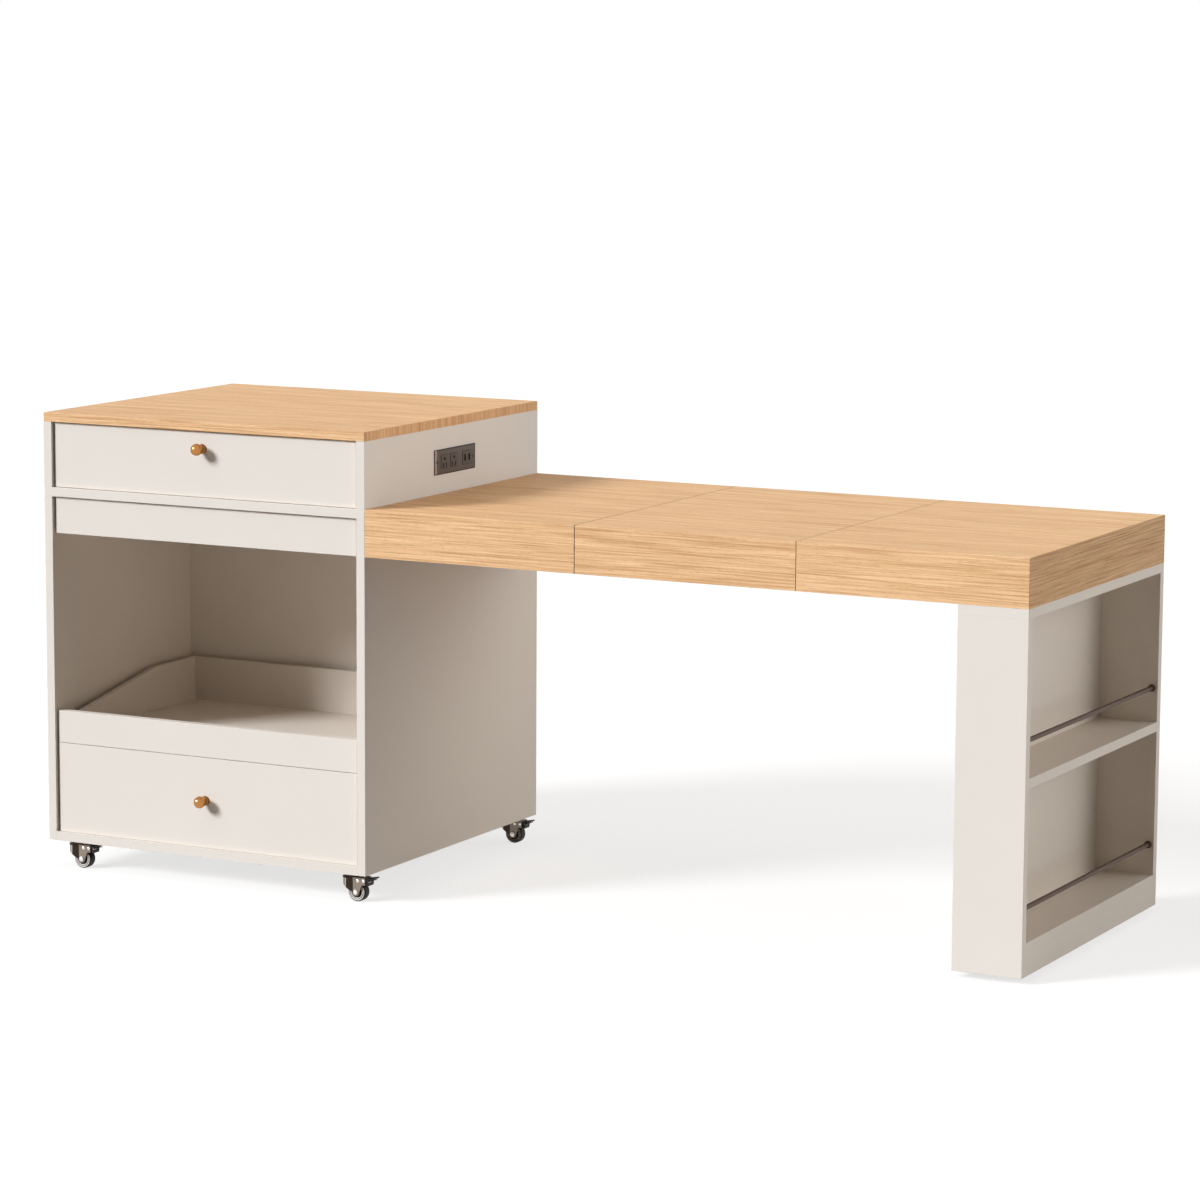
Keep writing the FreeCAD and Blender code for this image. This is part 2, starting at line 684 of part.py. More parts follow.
def knob(level, height):
    """A ball knob on a collar, with its machine screw."""
    face = "front_recess"
    ball_y = f"({face} - knob_projection + knob_radius)"
    ball = doc.addObject("Part::Sphere", f"{level}_ball")
    ball.setExpression("Radius", bound("knob_radius"))
    place(ball, KNOB_X, ball_y, height)
    collar = along_y(f"{level}_collar", "knob_collar_radius", "knob_collar_thick",
                     KNOB_X, f"{face} - knob_collar_thick", height)
    neck = along_y(f"{level}_neck", "knob_neck_radius", f"{face} - {ball_y}", KNOB_X, ball_y, height)
    screw_start = f"({face} - knob_screw_bite)"
    screw_length = f"({FRONT_BACK} - {screw_start})"
    bore = along_y(f"{level}_knob_bore", "knob_screw_radius", screw_length, KNOB_X, screw_start, height)
    shank = along_y(f"{level}_knob_shank", "knob_screw_radius", screw_length, KNOB_X, screw_start, height)
    head = along_y(f"{level}_knob_head", "knob_screw_head_radius", "knob_screw_head_thick",
                   KNOB_X, FRONT_BACK, height)
    body = cut(f"{level}_knob_body", fuse(f"{level}_knob_stock", [ball, collar, neck]), bore)
    return node(f"{level}_knob", group(f"{level}_knob", [body, fuse(f"{level}_knob_screw", [shank, head])]))


def drawer(level, front_z, front_tall, box, box_tall, knob_height):
    """A drawer with straight sides and a knob."""
    stock = front_board(f"{level}_front_stock", front_z, front_tall)
    hole = along_y(f"{level}_front_hole", "knob_screw_radius", "front_thick + 2 * overrun",
                   KNOB_X, "front_recess - overrun", knob_height)
    node(f"{level}_front", cut(f"{level}_front", stock, hole))
    sides = [
        board(f"{level}_side_{side}", (x, FRONT_BACK, box), ("drawer_board", DRAWER_LENGTH, box_tall))
        for side, x in (("left", BOX_LEFT), ("right", f"({BOX_RIGHT} - drawer_board)"))
    ]
    node(f"{level}_sides", group(f"{level}_sides", sides))
    drawer_shell(level, box, box_tall)
    knob(level, knob_height)


def tray():
    """The pull-out tray: a low front, and sides that climb to the height of its back."""
    node("tray_front", front_board("tray_front", TRAY_FRONT, "tray_front_height"))
    profile = [
        (0, 0),
        (DRAWER_LENGTH, 0),
        (DRAWER_LENGTH, "tray_side_height"),
        ("tray_slope_run", "tray_side_height"),
        (0, "tray_low_height"),
    ]
    sides = [
        place(padded(f"tray_side_{side}", "YZ_Plane", profile, "drawer_board"), x, FRONT_BACK, TRAY_BOX)
        for side, x in (("left", BOX_LEFT), ("right", f"({BOX_RIGHT} - drawer_board)"))
    ]
    node("tray_sides", group("tray_sides", sides))
    drawer_shell("tray", TRAY_BOX, "tray_side_height")


LEVELS = {"upper_drawer": UPPER_BOX, "tray": TRAY_BOX, "lower_drawer": LOWER_BOX}
rails = [rail for level, box in LEVELS.items() for rail in runner_rails(level, box)]
node("drawer_runner_rails", group("drawer_runner_rails", rails))
drawer("upper_drawer", UPPER_FRONT, UPPER_FRONT_HEIGHT, UPPER_BOX, UPPER_BOX_HEIGHT, UPPER_KNOB)
tray()
drawer("lower_drawer", LOWER_FRONT, "lower_front_height", LOWER_BOX, LOWER_BOX_HEIGHT, LOWER_KNOB)


# Extension table. Tops and aprons meet in mitres, so no edge shows between them.
def table_top(name, start, mitred_end):
    """A section's top: its underside is smaller by the mitres."""
    under_end = "section_length - table_board" if mitred_end else "section_length"
    top = wedge(name, "table_board",
                (0, under_end, "table_board - cabinet_depth", "-table_board"),
                (0, "section_length", "-cabinet_depth", 0))
    return place(turn(top, X_AXIS, QUARTER), start, 0, BOARD_BOTTOM)


def aprons(name, start, mitred_end):
    """A section's front and rear aprons."""
    inner_end = "section_length - table_board" if mitred_end else "section_length"
    outer = (0, "section_length", 0, "apron_height")
    inner = (0, inner_end, 0, "apron_height - table_board")
    front = place(wedge(f"{name}_front", "table_board", outer, inner), start, 0, APRON_BOTTOM)
    rear = place(wedge(f"{name}_rear", "table_board", inner, outer),
                 start, "cabinet_depth - table_board", APRON_BOTTOM)
    return group(name, [front, rear])


node("fixed_table_top", table_top("fixed_table_top", RIGHT, False))
node("fixed_table_aprons", aprons("fixed_table_aprons", RIGHT, False))
node("leaf_top", table_top("leaf_top", LEAF_START, False))
node("leaf_aprons", aprons("leaf_aprons", LEAF_START, False))
node("end_table_top", table_top("end_table_top", END_START, True))
node("end_table_aprons", aprons("end_table_aprons", END_START, True))
end_apron = wedge("end_apron", "table_board",
                  (0, "cabinet_depth", 0, "apron_height"),
                  ("table_board", "cabinet_depth - table_board", 0, "apron_height - table_board"))
node("end_apron", place(turn(end_apron, Z_AXIS, QUARTER), TABLE_END, 0, APRON_BOTTOM))

BAR_THICK = "(channel_inset + channel_width - channel_sheet - bar_end_gap)"
BAR_STARTS = {"front": "table_board", "rear": f"(cabinet_depth - table_board - {BAR_THICK})"}
bars = [
    board(f"runner_bar_{end}", (RIGHT, y, f"{BAR_TOP} - {BAR_HEIGHT}"),
          ("section_length - bar_setback", BAR_THICK, BAR_HEIGHT))
    for end, y in BAR_STARTS.items()
]
node("table_fixed_runners", group("table_fixed_runners", bars))

CHANNEL_LENGTH = f"({TABLE_END} - table_board - channel_setback - {CHANNEL_START})"


def table_channel(end, y, hollow_y):
    """A steel channel under the table, open towards the nearer apron."""
    outside = board(f"table_channel_{end}_outside", (CHANNEL_START, y, CHANNEL_BOTTOM),
                    (CHANNEL_LENGTH, "channel_width", "channel_height"))
    hollow = board(f"table_channel_{end}_hollow",
                   (f"{CHANNEL_START} - overrun", hollow_y, f"{CHANNEL_BOTTOM} + channel_sheet"),
                   (f"{CHANNEL_LENGTH} + 2 * overrun", "channel_width - channel_sheet + overrun",
                    "channel_height - 2 * channel_sheet"))
    return cut(f"table_channel_{end}", outside, hollow)


REAR_CHANNEL = f"(cabinet_depth - {CHANNEL_NEAR} - channel_width)"
channels = [
    table_channel("front", CHANNEL_NEAR, f"{CHANNEL_NEAR} - overrun"),
    table_channel("rear", REAR_CHANNEL, f"{REAR_CHANNEL} + channel_sheet"),
]
node("table_moving_runners", group("table_moving_runners", channels))

# Leg unit, open to the right
LEG_TALL = f"({LEG_TOP} - leg_lift)"
BETWEEN_PANELS = "(cabinet_depth - 2 * panel)"
LOW_SHELF_BOTTOM = "(low_shelf_height - panel)"
node("leg_top_panel", board("leg_top_panel", (LEG_START, 0, LEG_TOP),
                            ("leg_width", "cabinet_depth", "panel")))
leg_sides = [
    board(f"leg_panel_{end}", (LEG_START, y, "leg_lift"), ("leg_width", "panel", LEG_TALL))
    for end, y in (("front", 0), ("rear", "(cabinet_depth - panel)"))
]
node("leg_side_panels", group("leg_side_panels", leg_sides))
node("leg_back_panel", board("leg_back_panel", (LEG_START, "panel", "leg_lift"),
                             ("panel", BETWEEN_PANELS, LEG_TALL)))
shelves = [
    board(f"leg_shelf_{level}", (f"{LEG_START} + panel", "panel", f"{top} - panel"),
          ("leg_width - panel", BETWEEN_PANELS, "panel"))
    for level, top in (("middle", "mid_shelf_height"), ("low", "low_shelf_height"))
]
node("leg_shelves", group("leg_shelves", shelves))
node("leg_kick_panel", board("leg_kick_panel", (f"{TABLE_END} - panel", "panel", "leg_lift"),
                             ("panel", BETWEEN_PANELS, f"{LOW_SHELF_BOTTOM} - leg_lift")))

GUARD_X = f"({TABLE_END} - rail_setback)"
GUARD_HEIGHTS = {
    "middle": "(mid_shelf_height + mid_rail_rise)",
    "low": "(low_shelf_height + low_rail_rise)",
}


def rail_socket(name, y, height):
    """The round socket that holds one end of a guard rail."""
    outside = along_y(name + "_outside", "socket_radius", "socket_length", GUARD_X, y, height)
    bore = along_y(name + "_bore", "rail_radius", "socket_length + 2 * overrun", GUARD_X,
                   f"{y} - overrun", height)
    return cut(name, outside, bore)


guard_pieces = []
for level, height in GUARD_HEIGHTS.items():
    guard_pieces.append(along_y(f"guard_rail_{level}", "rail_radius", BETWEEN_PANELS, GUARD_X, "panel",
                                height))
    guard_pieces.append(rail_socket(f"socket_{level}_front", "panel", height))
    guard_pieces.append(rail_socket(f"socket_{level}_rear", "(cabinet_depth - panel - socket_length)",
                                    height))
node("guard_rails", group("guard_rails", guard_pieces))

FOOT_PROFILE = [
    (0, 0),
    ("foot_radius - foot_edge", 0),
    ("foot_radius", "foot_edge"),
    ("foot_radius", "foot_pad - foot_edge"),
    ("foot_radius - foot_edge", "foot_pad"),
    ("foot_stem_radius", "foot_pad"),
    ("foot_stem_radius", f"{LOW_SHELF_BOTTOM} - foot_flange_thick"),
    ("foot_flange_radius", f"{LOW_SHELF_BOTTOM} - foot_flange_thick"),
    ("foot_flange_radius", LOW_SHELF_BOTTOM),
    (0, LOW_SHELF_BOTTOM),
]
feet = [
    place(turned(f"leveling_foot_{end}", FOOT_PROFILE), FOOT_X, y, 0)
    for end, y in (("front", "foot_inset"), ("rear", "(cabinet_depth - foot_inset)"))
]
node("leveling_feet", group("leveling_feet", feet))


# Casters, each laid out from its own swivel axis at the floor
PLATE_HALF = "(plate_width / 2)"
INNER_HALF = "(wheel_width / 2 + wheel_play)"
OUTER_HALF = f"({INNER_HALF} + fork_sheet)"
SKIRT_RADIUS = f"({OUTER_HALF} + skirt_margin)"
FLANGE_RADIUS = f"({SKIRT_RADIUS} + flange_lip)"
HOOD = "(2 * wheel_radius + wheel_headroom)"
FORK_TOP = f"({HOOD} + fork_sheet)"
STOP_X = "(wheel_trail + stop_rivet_lead)"
STOP_Z = f"({HOOD} - stop_rivet_drop)"
PIVOT_X = "(wheel_trail + pivot_lead)"
PIVOT_Z = f"({HOOD} - pivot_drop)"
FORK_REACH = f"({PIVOT_X} + cheek_margin)"
PEDAL_TIP_X = f"({PIVOT_X} + pedal_length)"
PEDAL_TIP_Z = f"({PIVOT_Z} + pedal_rise)"
PEDAL_HALF = f"({OUTER_HALF} + pedal_overhang)"


def across(name, radius, half, x, z):
    """A round bar along Y, centred on the swivel axis's plane."""
    return local(turn(rod(name, radius, f"2 * {half}"), X_AXIS, -QUARTER), x, f"-{half}", z)


def cap_pair(name, radius, thick, x, z):
    """The round heads at both ends of a rivet."""
    near = turn(rod(f"{name}_near", radius, thick), X_AXIS, -QUARTER)
    far = turn(rod(f"{name}_far", radius, thick), X_AXIS, -QUARTER)
    return [local(near, x, f"-{OUTER_HALF} - {thick}", z), local(far, x, OUTER_HALF, z)]


def caster_plate(caster):
    """The mounting plate with its raceway and the kingpin that carries the fork."""
    edge = f"({PLATE_HALF} - plate_corner)"
    corners = [
        (f"-{PLATE_HALF}", f"-{edge}"), (f"-{edge}", f"-{PLATE_HALF}"),
        (edge, f"-{PLATE_HALF}"), (PLATE_HALF, f"-{edge}"),
        (PLATE_HALF, edge), (edge, PLATE_HALF),
        (f"-{edge}", PLATE_HALF), (f"-{PLATE_HALF}", edge),
    ]
    plate_stock = local(padded(f"{caster}_plate", "XY_Plane", corners, "plate_thick"), 0, 0, PLATE_BOTTOM)
    race = local(rod(f"{caster}_race", "race_radius", f"{PLATE_BOTTOM} - {FORK_TOP} - race_gap"),
                 0, 0, f"{FORK_TOP} + race_gap")
    head_bottom = f"({HOOD} - race_gap - kingpin_head)"
    pin = local(rod(f"{caster}_kingpin", "kingpin_radius", f"{PLATE_BOTTOM} - {head_bottom}"),
                0, 0, head_bottom)
    head = local(rod(f"{caster}_kingpin_head", "kingpin_head_radius", "kingpin_head"), 0, 0, head_bottom)
    whole = fuse(f"{caster}_mount_stock", [plate_stock, race, pin, head])
    holes = [
        local(rod(f"{caster}_plate_hole_{corner}", "caster_screw_radius", "caster_screw_length"),
              f"{right} * caster_screw_spread", f"{back} * caster_screw_spread", f"{PLATE_BOTTOM} - overrun")
        for corner, (right, back) in CORNERS.items()
    ]
    return cut(f"{caster}_mount", whole, holes)


def caster_fork(caster):
    """The drawn yoke with its axle, brake rivet and stop rivet."""
    profile = [
        (f"-{FLANGE_RADIUS}", FORK_TOP),
        (FORK_REACH, FORK_TOP),
        (FORK_REACH, f"{FORK_TOP} - cheek_drop"),
        (f"{FORK_REACH} - cheek_notch", f"{FORK_TOP} - cheek_drop"),
        ("wheel_trail + hub_radius", "wheel_radius"),
        ("wheel_trail - hub_radius", "wheel_radius"),
        (f"-{FLANGE_RADIUS}", f"{FORK_TOP} - skirt_drop"),
    ]
    blank = padded(f"{caster}_yoke_blank", "XZ_Plane", profile, f"2 * {FLANGE_RADIUS}", both_ways=True)
    outside = fuse(f"{caster}_yoke_outside", [
        rod(f"{caster}_skirt_outside", SKIRT_RADIUS, FORK_TOP),
        local(block(f"{caster}_cheeks_outside", FORK_REACH, f"2 * {OUTER_HALF}", FORK_TOP),
              0, f"-{OUTER_HALF}", 0),
    ])
    inside = fuse(f"{caster}_yoke_inside", [
        rod(f"{caster}_skirt_inside", f"{SKIRT_RADIUS} - fork_sheet", HOOD),
        local(block(f"{caster}_cheeks_inside", f"{FORK_REACH} + overrun", f"2 * {INNER_HALF}", HOOD),
              0, f"-{INNER_HALF}", 0),
    ])
    shell = cut(f"{caster}_yoke_shell", common(f"{caster}_yoke_drawn", [blank, outside]), inside)
    flange = local(rod(f"{caster}_yoke_flange", FLANGE_RADIUS, "fork_sheet"), 0, 0, HOOD)
    hubs = cut(f"{caster}_hubs",
               across(f"{caster}_hub_bar", "hub_radius", OUTER_HALF, "wheel_trail", "wheel_radius"),
               across(f"{caster}_hub_gap", "hub_radius + overrun", INNER_HALF, "wheel_trail", "wheel_radius"))
    holes = [
        rod(f"{caster}_kingpin_hole", "kingpin_radius + pin_play", f"{FORK_TOP} + overrun"),
        across(f"{caster}_axle_hole", "axle_radius", f"({OUTER_HALF} + overrun)", "wheel_trail",
               "wheel_radius"),
        across(f"{caster}_pivot_hole", "rivet_radius", f"({OUTER_HALF} + overrun)", PIVOT_X, PIVOT_Z),
        across(f"{caster}_stop_hole", "stop_rivet_radius", f"({OUTER_HALF} + overrun)", STOP_X, STOP_Z),
    ]
    yoke = cut(f"{caster}_yoke", fuse(f"{caster}_yoke_stock", [shell, flange, hubs]), holes)
    axle_heads = []
    for side, start in (("near", f"-{OUTER_HALF} - axle_head"), ("far", OUTER_HALF)):
        head = doc.addObject("Part::Prism", f"{caster}_axle_head_{side}")
        head.Polygon = 6
        head.setExpression("Circumradius", bound("axle_head_radius"))
        head.setExpression("Height", bound("axle_head"))
        axle_heads.append(local(turn(head, X_AXIS, -QUARTER), "wheel_trail", start, "wheel_radius"))
    axle = fuse(f"{caster}_axle", [
        across(f"{caster}_axle_shank", "axle_radius", OUTER_HALF, "wheel_trail", "wheel_radius")
    ] + axle_heads)
    pivot = fuse(f"{caster}_pivot_rivet", [
        across(f"{caster}_pivot_shank", "rivet_radius", OUTER_HALF, PIVOT_X, PIVOT_Z)
    ] + cap_pair(f"{caster}_pivot_cap", "rivet_head_radius", "rivet_head", PIVOT_X, PIVOT_Z))
    stop = fuse(f"{caster}_stop_rivet", [
        across(f"{caster}_stop_shank", "stop_rivet_radius", OUTER_HALF, STOP_X, STOP_Z)
    ] + cap_pair(f"{caster}_stop_cap", "rivet_head_radius", "rivet_head", STOP_X, STOP_Z))
    return group(f"caster_fork_{caster}", [yoke, axle, pivot, stop])


def caster_wheel(caster):
    """A wheel with a crowned tread and a dished face each side."""
    half = "(wheel_width / 2)"
    bore = "(axle_radius + pin_play)"
    one_side = [
        (bore, half),
        ("wheel_hub_radius", half),
        ("wheel_hub_radius", f"{half} - rim_recess"),
        ("rim_radius", f"{half} - rim_recess"),
        ("rim_radius", half),
        ("wheel_radius - tread_crown", half),
        ("wheel_radius", f"{half} - tread_crown"),
    ]
    other_side = [(radius, f"-({height})") for radius, height in reversed(one_side)]
    return turn(turned(f"caster_wheel_{caster}", one_side + other_side), X_AXIS, -QUARTER)


# The pedal's corners, as shares of its arm, from its pivot: reach, then height
PEDAL_WEB_SHARES = [
    (-0.21, 0.09), (0.2, 0.12), (0.255, 0.195), (0.6, 0.23), (0.72, 0.03), (0.535, -0.05),
    (0.49, -0.42), (0.325, -0.44), (0.21, -0.255), (-0.09, -0.255), (-0.21, -0.14),
]
PEDAL_BLADE_SHARES = [(0.7, 0.17), (0.37, 0.06)]
PEDAL_STEP_SHARE = 0.19


def from_pivot(shares):
    """Points of the pedal from their shares of its arm."""
    return [(f"{PIVOT_X} + {reach} * pedal_length", f"{PIVOT_Z} + {height} * pedal_length")
            for reach, height in shares]


def caster_pedal(caster):
    """The brake pedal: a narrow web between the cheeks and a wide blade beyond them."""
    web = padded(f"{caster}_pedal_web", "XZ_Plane", from_pivot(PEDAL_WEB_SHARES),
                 f"2 * ({INNER_HALF} - pedal_side_gap)", both_ways=True)
    near = f"{FORK_REACH} + pedal_front_gap"
    blade_outline = [
        (near, PIVOT_Z),
        (near, f"{PIVOT_Z} + {PEDAL_STEP_SHARE} * pedal_length"),
        (PEDAL_TIP_X, PEDAL_TIP_Z),
        (PEDAL_TIP_X, f"{PEDAL_TIP_Z} - pedal_thick"),
    ] + from_pivot(PEDAL_BLADE_SHARES)
    blade = padded(f"{caster}_pedal_blade", "XZ_Plane", blade_outline, f"2 * {PEDAL_HALF}",
                   both_ways=True)
    hole = across(f"{caster}_pedal_hole", "rivet_radius + pin_play", f"({INNER_HALF} + overrun)",
                  PIVOT_X, PIVOT_Z)
    return cut(f"brake_pedal_{caster}", fuse(f"{caster}_pedal_stock", [web, blade]), hole)


mounts = []
caster_screws = []
for caster, (x, y) in CASTERS.items():
    mounts.append(place(caster_plate(caster), x, y, 0))
    shanks = screw_shanks("screw_shank", caster)
    for corner, shank in zip(CORNERS, shanks):
        head = rod(f"screw_head_{caster}_{corner}", "caster_screw_head_radius", "caster_screw_head")
        right, back = CORNERS[corner]
        place(head, f"{x} + {right} * caster_screw_spread", f"{y} + {back} * caster_screw_spread",
              f"{PLATE_BOTTOM} - caster_screw_head")
        caster_screws.append(fuse(f"caster_screw_{caster}_{corner}", [shank, head]))
    node(f"caster_fork_{caster}", place(caster_fork(caster), x, y, 0))
    node(f"caster_wheel_{caster}", place(caster_wheel(caster), f"{x} + wheel_trail", y, "wheel_radius"))
    node(f"brake_pedal_{caster}", place(caster_pedal(caster), x, y, 0))
node("caster_plates", group("caster_plates", mounts))
node("caster_screws", group("caster_screws", caster_screws))

# Check, then write
doc.removeObject(rough_sheet.Name)
doc.recompute()
for piece in doc.Objects:
    if "Invalid" in piece.State or "Error" in piece.State:
        raise RuntimeError(f"{piece.Name} did not build: {piece.State}")
for piece in NODES:
    if piece.Shape.isNull() or not piece.Shape.isValid() or not piece.Shape.Solids:
        raise RuntimeError(f"{piece.Label} has no sound shape")

os.makedirs("parts", exist_ok=True)
for piece in NODES:
    piece.Shape.exportStep(f"parts/{piece.Label}.step")
print(len(NODES), "sub-parts,", sum(len(piece.Shape.Solids) for piece in NODES), "solids")
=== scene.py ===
# %% [markdown]
# # A rolling kitchen island with an extension table
#
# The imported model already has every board, runner and caster in its place, so this script only dresses
# it: it sets up a studio, rounds the corners that a workshop would round, turns the small metal parts on
# a lathe profile, and gives each surface a finish made of nodes. The frame is loaded first, because
# every new piece takes its place and its moving body from it.

# %% Load the frame
import json
import math

import bmesh
import bpy
from mathutils import Matrix, Vector


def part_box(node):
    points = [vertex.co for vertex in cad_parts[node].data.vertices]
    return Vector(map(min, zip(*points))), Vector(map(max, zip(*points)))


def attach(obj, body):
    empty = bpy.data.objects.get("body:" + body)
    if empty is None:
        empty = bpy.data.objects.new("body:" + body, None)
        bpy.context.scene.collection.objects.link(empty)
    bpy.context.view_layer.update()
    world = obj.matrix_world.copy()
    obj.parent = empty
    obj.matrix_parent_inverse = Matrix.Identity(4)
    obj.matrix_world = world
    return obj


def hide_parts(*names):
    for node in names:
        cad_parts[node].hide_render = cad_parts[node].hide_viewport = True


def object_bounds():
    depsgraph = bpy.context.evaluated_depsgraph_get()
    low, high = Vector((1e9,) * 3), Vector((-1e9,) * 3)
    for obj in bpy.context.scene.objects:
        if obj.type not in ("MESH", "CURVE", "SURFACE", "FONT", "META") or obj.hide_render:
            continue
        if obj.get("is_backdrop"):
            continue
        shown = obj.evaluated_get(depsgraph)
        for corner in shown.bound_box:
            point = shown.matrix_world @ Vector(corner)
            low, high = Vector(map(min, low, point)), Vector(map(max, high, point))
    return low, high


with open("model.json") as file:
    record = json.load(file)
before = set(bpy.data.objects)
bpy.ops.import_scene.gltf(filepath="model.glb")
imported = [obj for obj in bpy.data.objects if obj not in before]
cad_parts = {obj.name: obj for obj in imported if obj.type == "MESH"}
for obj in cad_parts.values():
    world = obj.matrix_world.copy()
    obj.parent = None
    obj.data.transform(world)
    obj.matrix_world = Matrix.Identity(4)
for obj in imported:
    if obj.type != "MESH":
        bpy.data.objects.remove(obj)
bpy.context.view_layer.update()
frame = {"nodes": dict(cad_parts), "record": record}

scene = bpy.context.scene
MM = 0.001

# %% [markdown]
# ## The camera
#
# The photograph was taken with a long lens from the front right, a little above the worktop. The place,
# the three angles and the focal length below come from fitting the picture's long edges to the model.
# A long lens keeps the uprights almost parallel, which a short one would spread.

# %% Camera
lens = bpy.data.cameras.new("camera")
lens.sensor_width = 36
lens.lens = 124.695
lens.clip_end = 60
camera = bpy.data.objects.new("camera", lens)
camera.location = (3.67905, -7.05095, 1.7508)
camera.rotation_euler = [math.radians(angle) for angle in (81.5688, -0.3106, 27.4514)]
scene.collection.objects.link(camera)
scene.camera = camera

# %% [markdown]
# ## Nodes written as sums
#
# A finish is a small network of nodes, and most of it is arithmetic on patterns. Writing that arithmetic
# as plain Python keeps it readable: a `Wire` is one node's output, and adding or multiplying wires adds
# the Math node that does it. Every other kind of node comes from `Finish.node`, which takes its type,
# its settings and what goes into its sockets.


# %% Shader arithmetic
class Wire:
    """One output of a node, which Python's operators can reckon with."""

    def __init__(self, finish, socket):
        self.finish = finish
        self.socket = socket

    def sum_of(self, operation, first, second):
        return self.finish.node("Math", {"operation": operation}, {0: first, 1: second})

    def __add__(self, other):
        return self.sum_of("ADD", self, other)

    def __radd__(self, other):
        return self.sum_of("ADD", other, self)

    def __sub__(self, other):
        return self.sum_of("SUBTRACT", self, other)

    def __rsub__(self, other):
        return self.sum_of("SUBTRACT", other, self)

    def __mul__(self, other):
        return self.sum_of("MULTIPLY", self, other)

    def __rmul__(self, other):
        return self.sum_of("MULTIPLY", other, self)


class Finish:
    """The nodes of one material or of the world."""

    def __init__(self, holder):
        holder.use_nodes = True
        self.tree = holder.node_tree
        self.tree.nodes.clear()

    def node(self, kind, settings=(), sockets=(), output=0):
        """Add a node: its settings first, then the values or wires of its sockets."""
        made = self.tree.nodes.new("ShaderNode" + kind)
        for key, value in dict(settings).items():
            if key == "stops":
                ramp = made.color_ramp.elements
                for place, colour in value[2:]:
                    ramp.new(place)
                for element, (place, colour) in zip(ramp, value):
                    element.position = place
                    element.color = colour
            else:
                setattr(made, key, value)
        for key, value in dict(sockets).items():
            if isinstance(value, Wire):
                self.tree.links.new(value.socket, made.inputs[key])
            else:
                made.inputs[key].default_value = value
        return Wire(self, made.outputs[output]) if made.outputs else None

    def blend(self, factor, first, second, how="MIX"):
        """Mix two colours."""
        return self.node("Mix", {"data_type": "RGBA", "blend_type": how},
                         {0: factor, 6: first, 7: second}, output=2)


def shade(red, green, blue):
    """A colour as a screen shows it, from 0 to 255, in the linear values that shaders use."""
    shares = [value / 255 for value in (red, green, blue)]
    return [share / 12.92 if share <= 0.04045 else ((share + 0.055) / 1.055) ** 2.4
            for share in shares] + [1]


print("A screen's middle grey is", round(shade(128, 128, 128)[0], 3), "in linear light")

# %% [markdown]
# ## Studio light
#
# One large, soft light stands high at the front left and makes the shadow that the worktop throws on the
# table. A Sun lamp is used because its light has the same strength over the whole two metres of the
# island, which a lamp close by would not give, and its `angle` sets how soft the shadow's edge is.

# %% Key light
KEY_STRENGTH = 1.08
KEY_SPREAD = 17
KEY_WAY = (-0.586, -0.672, 0.454)
key = bpy.data.lights.new("key_light", "SUN")
key.energy = KEY_STRENGTH * math.pi
key.angle = math.radians(KEY_SPREAD)
key.color = (0.975, 1.04, 1.13)
key_holder = bpy.data.objects.new("key_light", key)
key_holder.rotation_euler = Vector(KEY_WAY).to_track_quat("Z", "Y").to_euler()
scene.collection.objects.link(key_holder)
print("Key light", round(math.degrees(math.asin(KEY_WAY[2]))), "degrees up, soft over", KEY_SPREAD)

# %% [markdown]
# ## A white world
#
# What the camera sees behind the island is pure white, but a white world would also flood the island
# with light. The Light Path node tells the two apart: rays from the camera, and rays that bounce off
# polish or pass through glass, see white, and the soft rays that light the boards see three softboxes in
# a dark room instead. Two stand low at the right, a little behind the island, and model its right-hand
# faces; one hangs overhead at the front left and fills the shadows on the worktop. A softbox is a cosine
# to a high power: full strength straight at it, fading to nothing around it. Real Area lights would do as
# well, but they would show in the polish.

# %% World
SOFTBOXES = (
    # Elevation and azimuth in degrees, sharpness, strength.
    (8, 45, 8, 2.25),
    (8, 22, 16, 2.5),
    (60, 225, 8, 1.5),
)


def seen_directly(finish):
    """1 for what the camera sees, straight or in a reflection, and 0 for light on its way to a surface."""
    rays = [finish.node("LightPath", output=ray)
            for ray in ("Is Camera Ray", "Is Glossy Ray", "Is Transmission Ray")]
    return finish.node("Math", {"operation": "MINIMUM"}, {0: rays[0] + rays[1] + rays[2], 1: 1})


scene.world = bpy.data.worlds.new("studio")
studio = Finish(scene.world)
way = studio.node("TexCoord", output="Generated")


def softbox(elevation, azimuth, sharpness, strength):
    """How much light comes from the way a ray looks."""
    up, round_about = math.radians(elevation), math.radians(azimuth)
    centre = (math.cos(up) * math.cos(round_about), math.cos(up) * math.sin(round_about), math.sin(up))
    cosine = studio.node("VectorMath", {"operation": "DOT_PRODUCT"}, {0: way, 1: centre}, output="Value")
    clear = studio.node("Math", {"operation": "MAXIMUM"}, {0: cosine, 1: 0})
    return strength * studio.node("Math", {"operation": "POWER"}, {0: clear, 1: sharpness})


glow = studio.node("Background", {}, {
    "Color": (1.01, 1, 0.99, 1),
    "Strength": sum(softbox(*box) for box in SOFTBOXES),
})
white = studio.node("Background", {}, {"Color": (1, 1, 1, 1), "Strength": 1})
sky = studio.node("MixShader", {}, {0: seen_directly(studio), 1: glow, 2: white})
studio.node("OutputWorld", {}, {"Surface": sky})
print(len(SOFTBOXES), "softboxes")

# %% [markdown]
# ## A pale floor
#
# The floor plays the same trick. The camera sees a sheet that partly glows and is partly lit, so it looks
# nearly white and still darkens in the island's shadow, which a floor of pure glow wouldn't. The light that
# it throws back up is that of a darker floor, or the undersides would look lit from below.

